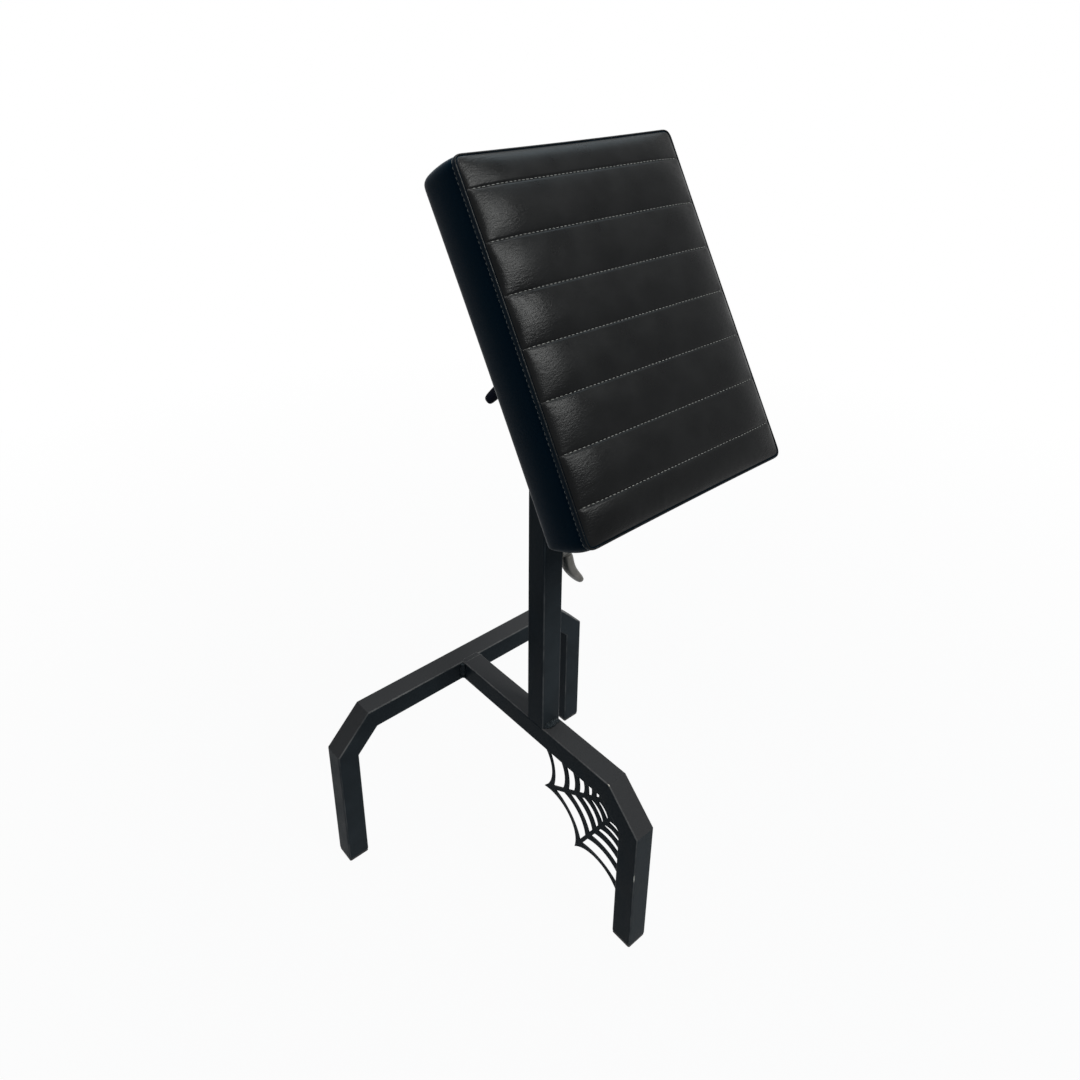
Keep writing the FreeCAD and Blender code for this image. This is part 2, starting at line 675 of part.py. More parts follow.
# four hexagon screws through the plate into nut plates sunk in the board's front
def makePadFasteners():
    screws, nuts = [], []
    for index, (x, y) in enumerate(boltPlaces):
        shank = cylinder(f"boltShank{index}", "boltRadius", "boltLength")
        head = prism(f"boltHead{index}", "boltHeadRadius", "boltHeadHeight")
        bind(head, **{"Placement.Base.z": "-boltHeadHeight"})
        screws.append(placeOnHead(fuse(f"bolt{index}", [shank, head]), x, y, plateLevel))

        block = bind(doc.addObject("Part::Box", f"nutBlank{index}"), Length="nutPlateWidth",
                     Width="nutPlateWidth", Height="nutPlateThickness")
        bind(block, **{"Placement.Base.x": "-nutPlateWidth / 2", "Placement.Base.y": "-nutPlateWidth / 2"})
        bore = cylinder(f"nutBore{index}", "boltRadius + pinFit", "nutPlateThickness")
        plate = subtract(f"nutPlate{index}", block, bore)
        nuts.append(placeOnHead(plate, x, y, f"{seamLevel} + {foamLevel} - nutPlateThickness"))
    node(group("pad_screws", screws), "pad_screws")
    node(group("board_nut_plates", nuts), "board_nut_plates")


# drum with V grooves round it: the toothed insert, and the socket that fits over it
def toothedDrum(name, radius, root, height):
    body = newBody(name)
    extrude(body, ring(sketchOn(body, "XY_Plane"), radius), height)
    groove = sketchOn(body, "XY_Plane")
    mouth = "(insertRadius + cutOverrun)"
    spread = f"({mouth} - ({root})) * tan(30 deg)"
    notch = cut(body, outline(groove, [(root, "0"), (mouth, f"-({spread})"), (mouth, spread)]))
    pattern = body.newObject("PartDesign::PolarPattern", name + "Pattern")
    pattern.Originals = [notch]
    pattern.Axis = (next(feature for feature in body.Origin.OriginFeatures if feature.Role == "Z_Axis"), [""])
    pattern.Angle = 360
    pattern.Occurrences = insertTeeth
    body.Tip = pattern
    return body


# lever arm stations: reach, rise over the hub's height, width and thickness, as shares
armFlat = 0.46
armShares = [(0.06, 0.76, 1.16, 1.22), (0.25, 0.76, 1.14, 1.18), (0.48, 0.82, 1.10, 1.12),
             (0.72, 1.10, 1.04, 1.02), (0.92, 1.37, 0.94, 0.86), (1.0, 1.45, 0.50, 0.44)]


def leverArm(name):
    stations = []
    for index, (reach, rise, width, thickness) in enumerate(armShares):
        before = armShares[max(index - 1, 0)]
        after = armShares[min(index + 1, len(armShares) - 1)]
        run = number("leverReach") * (after[0] - before[0])
        climb = number("hubHeight") * (after[1] - before[1])
        station = doc.addObject("Sketcher::SketchObject", f"{name}Station{index}")
        x, y = f"(armWidth * {width} / 2)", f"(armThickness * {thickness} / 2)"
        flatX, flatY = f"{x} * {armFlat}", f"{y} * {armFlat}"
        outline(station, [(x, f"-{flatY}"), (x, flatY), (flatX, y), (f"-{flatX}", y),
                          (f"-{x}", flatY), (f"-{x}", f"-{flatY}"), (f"-{flatX}", f"-{y}"), (flatX, f"-{y}")])
        stations.append(place(station, (f"leverReach * {reach}", "0", f"hubHeight * {rise}"), (run, 0, climb),
                              (0, 1, 0)))
    arm = doc.addObject("Part::Loft", name)
    arm.Sections = stations
    arm.Solid = True
    arm.Ruled = True
    arm.Linearize = True
    return arm


# clamp lever about its own Z: screw with toothed insert, spring, retaining screw and lifting handle
def makeClampLever(prefix, studLength, base, along, outward):
    socketTop = "(insertHeight + boreClearance)"
    shoulderTop = f"({socketTop} + shoulderThickness)"
    headSeat = "(hubHeight - screwSink - screwHeadHeight)"
    screwTip = "insertHeight / 3"

    hub = cylinder(prefix + "Hub", "hubRadius", "hubHeight - hubChamfer - jointGap")
    bind(hub, **{"Placement.Base.z": "jointGap"})
    rim = cone(prefix + "HubRim", "hubRadius", "hubRadius - hubChamfer", "hubChamfer")
    bind(rim, **{"Placement.Base.z": "hubHeight - hubChamfer"})
    blank = fuse(prefix + "Blank", [hub, rim, leverArm(prefix + "Arm")])
    root = "insertRadius - toothDepth + 2 * toothFit"
    socket = toothedDrum(prefix + "Socket", "insertRadius + toothFit", root, socketTop)
    throat = cylinder(prefix + "Throat", "screwRadius + boreClearance", "hubHeight")
    well = cylinder(prefix + "Well", "screwHeadRadius + boreClearance", "leverReach")
    bind(well, **{"Placement.Base.z": shoulderTop})
    handle = subtract(f"{prefix}_lever_handle", blank, fuse(prefix + "Bores", [socket, throat, well]))
    place(node(handle, f"{prefix}_lever_handle"), base, along, outward)

    insert = toothedDrum(prefix + "Insert", "insertRadius", "insertRadius - toothDepth", "insertHeight")
    shank = cylinder(prefix + "Shank", "studRadius", studLength)
    bind(shank, **{"Placement.Base.z": f"-({studLength})"})
    tapped = cylinder(prefix + "Tapped", "screwRadius + pinFit", "insertHeight")
    bind(tapped, **{"Placement.Base.z": screwTip})
    stud = subtract(f"{prefix}_clamp_stud", fuse(prefix + "StudBlank", [insert, shank]), tapped)
    place(node(stud, f"{prefix}_clamp_stud"), base, along, outward)

    body = cylinder(prefix + "ScrewShank", "screwRadius", f"{headSeat} - {screwTip}")
    bind(body, **{"Placement.Base.z": screwTip})
    head = cylinder(prefix + "ScrewHead", "screwHeadRadius", "screwHeadHeight")
    bind(head, **{"Placement.Base.z": headSeat})
    hexagon = prism(prefix + "ScrewHex", "screwRadius", "screwHeadHeight")
    bind(hexagon, **{"Placement.Base.z": f"{headSeat} + screwHeadHeight / 2"})
    screw = subtract(f"{prefix}_lever_screw", fuse(prefix + "ScrewBlank", [body, head]), hexagon)
    place(node(screw, f"{prefix}_lever_screw"), base, along, outward)

    springFoot = f"({shoulderTop} + liftTravel)"
    coil = prism(prefix + "SpringBlank", "springRadius", f"{headSeat} - {springFoot}", 8)
    eye = cylinder(prefix + "SpringEye", "screwRadius + boreClearance", "hubHeight")
    bind(coil, **{"Placement.Base.z": springFoot})
    spring = subtract(f"{prefix}_lever_spring", coil, eye)
    place(node(spring, f"{prefix}_lever_spring"), base, along, outward)


# height clamp on the outer post's right face, with its lever hanging down
def makeHeightClamp():
    place(weldNut("height_weld_nut"), ("tubeWidth / 2", postY, heightClampZ), (1, 0, 0), (0, 0, 1))
    seat = "(tubeWidth / 2 + nutHeight + seatGap)"
    tipStart = "(mastWidth / 2 + jointGap)"
    lean = math.radians(number("heightLeverLean"))
    makeClampLever("height", f"({seat} - {tipStart} - thrustTipLength)", (seat, postY, heightClampZ),
                   (1, 0, 0), (0, -math.sin(lean), -math.cos(lean)))
    tip = node(cylinder("height_thrust_tip", "thrustTipRadius", "thrustTipLength"), "height_thrust_tip")
    place(tip, (tipStart, postY, heightClampZ), (1, 0, 0), (0, 0, 1))


# tilt clamp through ears and knuckle, with its lever on the left ear
def makeTiltClamp():
    washerFace = f"({earOuter} + jointGap)"
    seat = f"({washerFace} + washerThickness)"
    drop = math.radians(number("tiltLeverDrop"))
    makeClampLever("tilt", f"({seat} + {earOuter} + nutHeight)", (f"-{seat}", postY, "pivotHeight"),
                   (-1, 0, 0), (0, math.cos(drop), -math.sin(drop)))
    washer = subtract("tilt_lever_washer", prism("tiltWasherBlank", "washerRadius", "washerThickness", 12),
                      cylinder("tiltWasherBore", "studRadius + pinFit", "washerThickness"))
    place(node(washer, "tilt_lever_washer"), (f"-{washerFace}", postY, "pivotHeight"), (-1, 0, 0), (0, 0, 1))


makeBaseFrame()
makeFootCaps()
makeOuterPost()
makeWebGusset()
makeWeldBeads()
makeInnerPost()
makeTiltBracket()
makePadCover()
makePadCore()
makePadFasteners()
makeHeightClamp()
makeTiltClamp()
doc.recompute()

# every object has to be sound before a piece is written
for thing in doc.Objects:
    if "Invalid" in thing.State or "Error" in thing.State:
        raise RuntimeError(f"{thing.Name} failed: {thing.State}")
for piece in nodes:
    if piece.Shape.isNull() or not piece.Shape.isValid():
        raise RuntimeError(f"{piece.Label} has no valid shape")

os.makedirs("parts", exist_ok=True)
whole = FreeCAD.BoundBox()
for piece in nodes:
    piece.Shape.exportStep(f"parts/{piece.Label}.step")
    whole.add(piece.Shape.BoundBox)
print(len(nodes), "pieces, from", [round(value, 2) for value in (whole.XMin, whole.YMin, whole.ZMin)],
      "to", [round(value, 2) for value in (whole.XMax, whole.YMax, whole.ZMax)])
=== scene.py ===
import bisect
import math
import bpy
import bmesh
from mathutils import Matrix, Vector, noise
from mathutils.bvhtree import BVHTree


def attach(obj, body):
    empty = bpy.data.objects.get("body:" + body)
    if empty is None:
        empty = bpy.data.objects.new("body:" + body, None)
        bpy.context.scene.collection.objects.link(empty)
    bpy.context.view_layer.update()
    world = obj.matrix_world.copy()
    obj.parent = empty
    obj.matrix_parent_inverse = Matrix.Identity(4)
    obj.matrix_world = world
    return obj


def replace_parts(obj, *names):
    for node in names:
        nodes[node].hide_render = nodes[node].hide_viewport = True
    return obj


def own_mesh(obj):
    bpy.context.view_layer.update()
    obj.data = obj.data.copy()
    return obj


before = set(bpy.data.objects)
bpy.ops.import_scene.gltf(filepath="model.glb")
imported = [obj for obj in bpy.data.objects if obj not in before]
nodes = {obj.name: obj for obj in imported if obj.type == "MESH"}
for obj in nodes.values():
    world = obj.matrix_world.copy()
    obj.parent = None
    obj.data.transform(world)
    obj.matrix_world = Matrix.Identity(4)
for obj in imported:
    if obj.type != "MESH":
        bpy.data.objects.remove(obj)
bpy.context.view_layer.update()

# Tattoo arm rest stand, dressed over its CAD frame. Metres, +X right, +Y back, +Z up.
scene = bpy.context.scene
print("frame loaded:", len(nodes), "pieces")


# Materials. A noise is its scale and detail; limits are the values between which a mask rises;
# spread is how far roughness falls and rises; a bump is its strength and height in metres.
padTilt = math.radians(60)
padTurn = (-padTilt, 0, 0)  # turns the object's space into the pad's plane


def shaderInput(tree, name):
    return tree.nodes["Principled BSDF"].inputs[name]


def newMaterial(name, color, roughness, metallic=0.0, gloss=0.5):
    made = bpy.data.materials.new(name)
    made.use_nodes = True
    tree = made.node_tree
    for key, value in (("Base Color", (*color, 1)), ("Roughness", roughness), ("Metallic", metallic),
                       ("Specular IOR Level", gloss)):
        shaderInput(tree, key).default_value = value
    return made, tree


def addNode(tree, kind, **values):
    made = tree.nodes.new(kind)
    for name, value in values.items():
        if name in made.inputs:
            made.inputs[name].default_value = value
        else:
            setattr(made, name, value)
    return made


def join(tree, source, target):
    tree.links.new(source, target)


def placed(tree, space, turn=(0, 0, 0), stretch=(1, 1, 1)):
    mapping = addNode(tree, "ShaderNodeMapping")
    mapping.inputs["Rotation"].default_value = turn
    mapping.inputs["Scale"].default_value = stretch
    join(tree, space, mapping.inputs["Vector"])
    return mapping.outputs["Vector"]


def objectSpace(tree, turn=(0, 0, 0), stretch=(1, 1, 1)):
    place = addNode(tree, "ShaderNodeTexCoord")
    return placed(tree, place.outputs["Object"], turn, stretch)


def noiseOn(tree, space, scale, detail, rough=0.5):
    grain = addNode(tree, "ShaderNodeTexNoise", Scale=scale, Detail=detail, Roughness=rough)
    join(tree, space, grain.inputs["Vector"])
    return grain.outputs["Fac"]


def ramp(tree, source, low, high, first, last):
    spread = addNode(tree, "ShaderNodeMapRange")
    for name, value in (("From Min", low), ("From Max", high), ("To Min", first), ("To Max", last)):
        spread.inputs[name].default_value = value
    join(tree, source, spread.inputs["Value"])
    return spread.outputs["Result"]


def mask(tree, source, limits, least=0):
    return ramp(tree, source, *limits, least, 1)


# a noise and its mask
def patchwork(tree, space, scale, detail, limits, least=0):
    source = noiseOn(tree, space, scale, detail)
    return source, mask(tree, source, limits, least)


def scaled(color, factor, lift=0):
    return tuple(channel * factor + lift for channel in color)


def blendColors(tree, factor, first, second):
    mix = addNode(tree, "ShaderNodeMix", data_type="RGBA")
    join(tree, factor, mix.inputs["Factor"])
    for socket, color in ((mix.inputs[6], first), (mix.inputs[7], second)):
        if isinstance(color, tuple):
            socket.default_value = (*color, 1)
        else:
            join(tree, color, socket)
    return mix.outputs[2]


def maths(tree, operation, first, second):
    step = addNode(tree, "ShaderNodeMath", operation=operation)
    for socket, value in ((step.inputs[0], first), (step.inputs[1], second)):
        if isinstance(value, (int, float)):
            socket.default_value = value
        else:
            join(tree, value, socket)
    return step.outputs[0]


def product(tree, first, second):
    return maths(tree, "MULTIPLY", first, second)


def lengthOf(tree, vector):
    length = addNode(tree, "ShaderNodeVectorMath", operation="LENGTH")
    join(tree, vector, length.inputs[0])
    return length.outputs["Value"]


def feed(tree, name, source):
    join(tree, source, shaderInput(tree, name))


def paint(tree, tone):
    feed(tree, "Base Color", tone)


def varyRoughness(tree, source, middle, spread):
    less, more = spread
    feed(tree, "Roughness", ramp(tree, source, 0.3, 0.7, middle - less, middle + more))


def bumps(tree, layers):
    last = None
    for height, (strength, distance) in layers:
        bump = addNode(tree, "ShaderNodeBump", Strength=strength, Distance=distance)
        join(tree, height, bump.inputs["Height"])
        if last:
            join(tree, last, bump.inputs["Normal"])
        last = bump.outputs["Normal"]
    feed(tree, "Normal", last)


# bright along edges, by the cosine between a face's rounded normal and its flat one
def edgeMask(tree, radius):
    rounded = addNode(tree, "ShaderNodeBevel", Radius=radius, samples=6)
    flat = addNode(tree, "ShaderNodeNewGeometry")
    dot = addNode(tree, "ShaderNodeVectorMath", operation="DOT_PRODUCT")
    join(tree, rounded.outputs["Normal"], dot.inputs[0])
    join(tree, flat.outputs["Normal"], dot.inputs[1])
    return mask(tree, dot.outputs["Value"], (0.995, 0.90))


def normalParts(tree, turn=(0, 0, 0)):
    place = addNode(tree, "ShaderNodeTexCoord")
    axes = addNode(tree, "ShaderNodeSeparateXYZ")
    join(tree, placed(tree, place.outputs["Normal"], turn), axes.inputs[0])
    return axes.outputs


# painted light from above: lighter where a face looks up
def topMask(tree):
    return mask(tree, normalParts(tree)["Z"], (0.45, 0.66))


# bright on a square tube's rounded corners, where its normal lies between two faces
def cornerMask(tree, turn):
    x, y, z = (maths(tree, "ABSOLUTE", part, 0) for part in normalParts(tree, turn))
    largest = maths(tree, "MAXIMUM", maths(tree, "MAXIMUM", x, y), z)
    return mask(tree, largest, (0.985, 0.86))


coatLook = {
    "color": (0.0185, 0.0235, 0.0275),
    "gloss": 0.020,
    "tint": (0.75, 0.92, 1),
    "cloud": (22, 4, (0.35, 0.7)), "lighter": (1.3, 0.0012), "spread": (0.05, 0.06),
    "peel": (620, 2), "peelBump": (0.34, 0.0007),
    "dust": (2400, 1), "dustBump": (0.2, 0.0002),
    # painted light from above, laid on faces that look up
    "paintedTopLight": (0.0355, 0.0365, 0.0385),  # on faces that look up
    "edgeRadius": 0.0016,
    # painted highlight along the tubes' rounded edges, in patches of a light grey
    "edgePatches": (28, 5, (0.36, 0.66), 0.25), "edgeHighlight": (0.17, 0.17, 0.17),
    # knocks that bared the metal: place and half sizes, and how ragged their rims are
    "chips": [((-0.0186, -0.1556, 0.3046), (0.0014, 0.0036, 0.0018)),
              ((-0.0184, -0.2160, 0.1600), (0.0012, 0.0012, 0.0075))],
    "bare": (0.62, 0.59, 0.53),
    "ragged": (800, 3), "raggedReach": 0.45, "rim": (0.9, 1.0),
}


def addChips(tree, space, tone):
    look = coatLook
    reach = look["raggedReach"]
    ragged = ramp(tree, noiseOn(tree, space, *look["ragged"]), 0.3, 0.7, -reach, reach)
    for place, half in look["chips"]:
        away = addNode(tree, "ShaderNodeVectorMath", operation="SUBTRACT")
        away.inputs[1].default_value = place
        join(tree, space, away.inputs[0])
        shares = placed(tree, away.outputs[0], stretch=tuple(1 / size for size in half))
        far = maths(tree, "ADD", lengthOf(tree, shares), ragged)
        tone = blendColors(tree, ramp(tree, far, *look["rim"], 1, 0), tone, look["bare"])
    return tone


# turn brings a tube's own directions to the axes; without it the edges are found by bevel
def powderCoat(name, roughness, edgeStrength, turn=None, chips=False, paintedTopLight=True,
               color=coatLook["color"], gloss=coatLook["gloss"]):
    look = coatLook
    made, tree = newMaterial(name, color, roughness, 0, gloss)
    shaderInput(tree, "Specular Tint").default_value = (*look["tint"], 1)
    space = objectSpace(tree)
    cloudy, patches = patchwork(tree, space, *look["cloud"])
    edgeLift = patchwork(tree, space, *look["edgePatches"])[1]
    peel = noiseOn(tree, space, *look["peel"])
    dust = noiseOn(tree, space, *look["dust"])
    edge = edgeMask(tree, look["edgeRadius"]) if turn is None else cornerMask(tree, turn)
    tone = blendColors(tree, patches, color, scaled(color, *look["lighter"]))
    # painted light from above: faces that look up are painted lighter
    if paintedTopLight:
        tone = blendColors(tree, topMask(tree), tone, look["paintedTopLight"])
    # painted highlight along edges, in patches
    bright = product(tree, product(tree, edge, edgeLift), edgeStrength)
    tone = blendColors(tree, bright, tone, look["edgeHighlight"])
    if chips:
        tone = addChips(tree, space, tone)
    paint(tree, tone)
    varyRoughness(tree, cloudy, roughness, look["spread"])
    bumps(tree, [(peel, look["peelBump"]), (dust, look["dustBump"])])
    return made


castLook = {
    "cloud": (70, 5, (0.35, 0.65)), "cloudBump": (0.15, 0.0008),
    "pits": (900, 3), "pitBump": (0.25, 0.0004), "spread": (0.06, 0.08),
    "darker": 0.78, "lighter": 1.25,
    "edgeRadius": 0.0012, "edgeLimits": (0.35, 0.6), "edgeLeast": 0.2, "edgeLift": (1.8, 0.01),
}


def castMetal(name, color, roughness, metallic, gloss, edgeStrength):
    look = castLook
    made, tree = newMaterial(name, color, roughness, metallic, gloss)
    space = objectSpace(tree)
    cloudy, patches = patchwork(tree, space, *look["cloud"])
    pits = noiseOn(tree, space, *look["pits"])
    # lighter along edges, in patches
    edgeSpots = mask(tree, cloudy, look["edgeLimits"], look["edgeLeast"])
    edge = product(tree, edgeMask(tree, look["edgeRadius"]), edgeSpots)
    tone = blendColors(tree, patches, scaled(color, look["darker"]), scaled(color, look["lighter"]))
    paint(tree, blendColors(tree, product(tree, edge, edgeStrength), tone, scaled(color, *look["edgeLift"])))
    varyRoughness(tree, pits, roughness, look["spread"])
    bumps(tree, [(pits, look["pitBump"]), (cloudy, look["cloudBump"])])
    return made


turnedLook = {
    "lines": (700, 3), "lineStretch": (5, 1, 1), "lineBump": (0.3, 0.0002),
    "stain": (160, 4, (0.35, 0.7)), "darker": 0.72, "spread": (0.06, 0.12),
}


def turnedMetal(name, color, roughness):
    look = turnedLook
    made, tree = newMaterial(name, color, roughness, 1.0)
    lines = noiseOn(tree, objectSpace(tree, stretch=look["lineStretch"]), *look["lines"])
    stain, stained = patchwork(tree, objectSpace(tree), *look["stain"])
    paint(tree, blendColors(tree, stained, color, scaled(color, look["darker"])))
    varyRoughness(tree, stain, roughness, look["spread"])
    bumps(tree, [(lines, look["lineBump"])])
    return made


plasticLook = {
    "spark": (1500, 2), "sparkBump": (0.35, 0.0002), "spread": (0.05, 0.1),
    "cloud": (60, 3, (0.4, 0.75)), "lighter": (1.5, 0.002),
}


def mouldedPlastic(name, color, roughness):
    look = plasticLook
    made, tree = newMaterial(name, color, roughness, gloss=0.3)
    space = objectSpace(tree)
    spark = noiseOn(tree, space, *look["spark"])
    patches = patchwork(tree, space, *look["cloud"])[1]
    paint(tree, blendColors(tree, patches, color, scaled(color, *look["lighter"])))
    varyRoughness(tree, spark, roughness, look["spread"])
    bumps(tree, [(spark, look["sparkBump"])])
    return made


foamLook = {"scale": 900, "limits": (0.1, 0.6), "darker": 0.6, "bump": (0.5, 0.0006)}


def foamCells(name, color):
    look = foamLook
    made, tree = newMaterial(name, color, 0.9, gloss=0.2)
    cells = addNode(tree, "ShaderNodeTexVoronoi", Scale=look["scale"])
    join(tree, objectSpace(tree), cells.inputs["Vector"])
    shade = mask(tree, cells.outputs["Distance"], look["limits"])
    paint(tree, blendColors(tree, shade, scaled(color, look["darker"]), color))
    bumps(tree, [(cells.outputs["Distance"], look["bump"])])
    return made


plyLook = {
    "grain": (9, 6, 0.65), "grainStretch": (14, 1.2, 14),
    "grainLimits": (0.35, 0.65), "grainBump": (0.2, 0.0005),
    "plies": 100, "wander": 0.6, "plyShare": 0.35,
}


def plywood(name, light, dark):
    look = plyLook
    made, tree = newMaterial(name, light, 0.6, gloss=0.3)
    grain = noiseOn(tree, objectSpace(tree, padTurn, look["grainStretch"]), *look["grain"])
    plies = addNode(tree, "ShaderNodeTexWave", Scale=look["plies"], Distortion=look["wander"])
    plies.bands_direction = "Z"
    join(tree, objectSpace(tree, padTurn), plies.inputs["Vector"])
    tone = blendColors(tree, mask(tree, grain, look["grainLimits"]), light, dark)
    layered = product(tree, plies.outputs["Fac"], look["plyShare"])
    paint(tree, blendColors(tree, layered, tone, dark))
    bumps(tree, [(grain, look["grainBump"])])
    return made


clothLook = {
    "pitch": 0.0011,  # from thread to thread
    "waveLength": 0.314,  # of a wave texture at scale 1
    "lighter": (2.4, 0.006), "bump": (0.6, 0.0004),
}


# plain weave from two crossed sets of bands in the pad's own plane
def wovenCloth(name, color):
    look = clothLook
    made, tree = newMaterial(name, color, 0.85, gloss=0.25)
    space = objectSpace(tree, padTurn)
    bands = []
    for direction in ("X", "Y"):
        wave = addNode(tree, "ShaderNodeTexWave", Scale=look["waveLength"] / look["pitch"])
        wave.bands_direction = direction
        join(tree, space, wave.inputs["Vector"])
        bands.append(wave.outputs["Fac"])
    weave = product(tree, *bands)
    paint(tree, blendColors(tree, weave, color, scaled(color, *look["lighter"])))
    bumps(tree, [(weave, look["bump"])])
    return made


threadLook = {"twist": (2600, 2, (0.35, 0.65)), "darker": 0.55, "bump": (0.6, 0.0003)}


def sewingThread(name, color):
    look = threadLook
    made, tree = newMaterial(name, color, 0.6, gloss=0.3)
    twist, strands = patchwork(tree, objectSpace(tree), *look["twist"])
    paint(tree, blendColors(tree, strands, scaled(color, look["darker"]), color))
    bumps(tree, [(twist, look["bump"])])
    return made


vinylLook = {
    "roughness": 0.31, "spread": (0.05, 0.05),
    # on the boxing, and on the face
    "gloss": (0.017, 0.086),
    # the boxing's blue reflection tint and blue colour are painted cool shade on the pad's sides
    "tint": ((0.4, 0.78, 1), (0.92, 0.97, 1)),
    "colors": ((0.0009, 0.0110, 0.0220), (0.0026, 0.0028, 0.0030)),
    "seamLimits": (0.6322, 0.6336),  # the face seam's level in the turned space
    "grain": 1100, "grainBump": (0.35, 0.0003),
    "soft": (26, 3, (0.4, 0.7)), "softBump": (0.1, 0.002), "lighter": (1.4, 0.0006),
    # short creases across the side rolls: one set runs aslant over the channels, one straight
    "slantTurn": (0, 0, math.radians(-27)),
    "slant": (380, 3, 0.55), "slantStretch": (0.17, 1, 0.6),
    "straight": (494, 2, 0.5), "straightStretch": (0.2, 1, 0.6),
    "sideLimits": (0.095, 0.150), "sideLeast": 0.12, "creaseBump": (0.24, 0.0011),
}


def padVinyl(name):
    look = vinylLook
    boxingBlueShade, color = look["colors"]
    made, tree = newMaterial(name, color, look["roughness"], 0, look["gloss"][1])
    flat = objectSpace(tree, padTurn)
    grain = addNode(tree, "ShaderNodeTexVoronoi", Scale=look["grain"])
    join(tree, flat, grain.inputs["Vector"])
    aslant = placed(tree, placed(tree, flat, turn=look["slantTurn"]), stretch=look["slantStretch"])
    straight = placed(tree, flat, stretch=look["straightStretch"])
    creases = maths(tree, "ADD", noiseOn(tree, aslant, *look["slant"]),
                    noiseOn(tree, straight, *look["straight"]))
    soft, patches = patchwork(tree, flat, *look["soft"])
    parts = addNode(tree, "ShaderNodeSeparateXYZ")
    join(tree, flat, parts.inputs[0])
    reach = maths(tree, "ABSOLUTE", parts.outputs["X"], 0)
    onFace = mask(tree, parts.outputs["Z"], look["seamLimits"])
    atSides = product(tree, mask(tree, reach, look["sideLimits"], look["sideLeast"]), onFace)
    feed(tree, "Specular IOR Level", ramp(tree, onFace, 0, 1, *look["gloss"]))
    # painted cool shade on the boxing: a blue reflection tint there and a blue colour
    feed(tree, "Specular Tint", blendColors(tree, onFace, *look["tint"]))
    tone = blendColors(tree, patches, color, scaled(color, *look["lighter"]))
    paint(tree, blendColors(tree, onFace, boxingBlueShade, tone))
    varyRoughness(tree, soft, look["roughness"], look["spread"])
    bumps(tree, [(product(tree, creases, atSides), look["creaseBump"]),
                 (grain.outputs["Distance"], look["grainBump"]), (soft, look["softBump"])])
    return made


uprightTube, sideSlope, frontSlope = (0, 0, 0), (0, math.radians(45), 0), (math.radians(45), 0, 0)
finishes = {
    "frame": powderCoat("blackPowderCoat", 0.42, 0.5),
    "tube": powderCoat("tubePowderCoat", 0.42, 0.6, uprightTube, chips=True),
    "sideSlope": powderCoat("sideSlopePowderCoat", 0.42, 0.6, sideSlope),
    "frontSlope": powderCoat("frontSlopePowderCoat", 0.42, 0.6, frontSlope, chips=True),
    "mast": powderCoat("rubbedPowderCoat", 0.37, 0.7, uprightTube),
    "bead": powderCoat("weldPowderCoat", 0.30, 0.15, paintedTopLight=False,
                       color=(0.0110, 0.0145, 0.0175), gloss=0.06),
    "greyCast": castMetal("greyCoatedZinc", (0.205, 0.193, 0.174), 0.42, 0.25, 0.3, 0.6),
    "blackCast": castMetal("blackCoatedZinc", (0.0018, 0.0026, 0.0080), 0.45, 0, 0.04, 0.3),
    "steel": turnedMetal("brightZincSteel", (0.56, 0.56, 0.54), 0.32),
    "brass": turnedMetal("turnedBrass", (0.62, 0.44, 0.18), 0.3),
    "plastic": mouldedPlastic("blackMouldedPlastic", (0.007, 0.007, 0.0075), 0.5),
    "vinyl": padVinyl("padVinyl"),
    "thread": sewingThread("greyThread", (0.20, 0.21, 0.205)),
    "foam": foamCells("paleFoam", (0.78, 0.72, 0.52)),
    "board": plywood("birchPlywood", (0.60, 0.43, 0.26), (0.42, 0.27, 0.14)),
    "cloth": wovenCloth("blackDustCloth", (0.010, 0.010, 0.0105)),
}

finishOf = {
    "mast": ["inner_post_tube"],
    "bead": ["frame_weld_beads"],
    "tube": ["cross_bar", "stem_bar", "left_leg_tube", "right_leg_tube", "front_leg_tube", "post_outer_tube"],
    "sideSlope": ["left_corner_tube", "right_corner_tube"],
    "frontSlope": ["front_corner_tube"],
    "greyCast": ["height_lever_handle"],
    "blackCast": ["tilt_lever_handle"],
    "steel": ["pad_screws", "board_nut_plates", "tilt_clamp_stud", "tilt_lever_screw", "tilt_lever_spring",
              "tilt_lever_washer", "height_clamp_stud", "height_lever_screw", "height_lever_spring"],
    "brass": ["height_thrust_tip"],
    "plastic": ["left_foot_cap", "right_foot_cap", "front_foot_cap", "post_guide_bush", "inner_post_glide",
                "friction_discs"],
    "foam": ["foam_block"],
    "board": ["pad_board"],
    "cloth": ["back_cloth"],
    "vinyl": ["pad_cover"],
}
namedFinish = {name: finish for finish, names in finishOf.items() for name in names}
for name, piece in nodes.items():
    piece.data.materials.clear()
    piece.data.materials.append(finishes[namedFinish.get(name, "frame")])
print("materials made:", len(finishes))


# Mesh helpers.
def pieceFrom(bm, name, material, smooth=True):
    mesh = bpy.data.meshes.new(name)
    bm.to_mesh(mesh)
    bm.free()
    for face in mesh.polygons:
        face.use_smooth = smooth
    mesh.materials.append(material)
    made = bpy.data.objects.new(name, mesh)
    scene.collection.objects.link(made)
    return made


def bakeModifiers(piece):
    bpy.context.view_layer.update()
    done = bpy.data.meshes.new_from_object(piece.evaluated_get(bpy.context.evaluated_depsgraph_get()))
    piece.modifiers.clear()
    piece.data = done
    return piece


def bevelEdges(bm, edges, offset, segments):
    bmesh.ops.bevel(bm, geom=edges, offset=offset, segments=segments, profile=0.5, affect="EDGES",
                    material=-1)


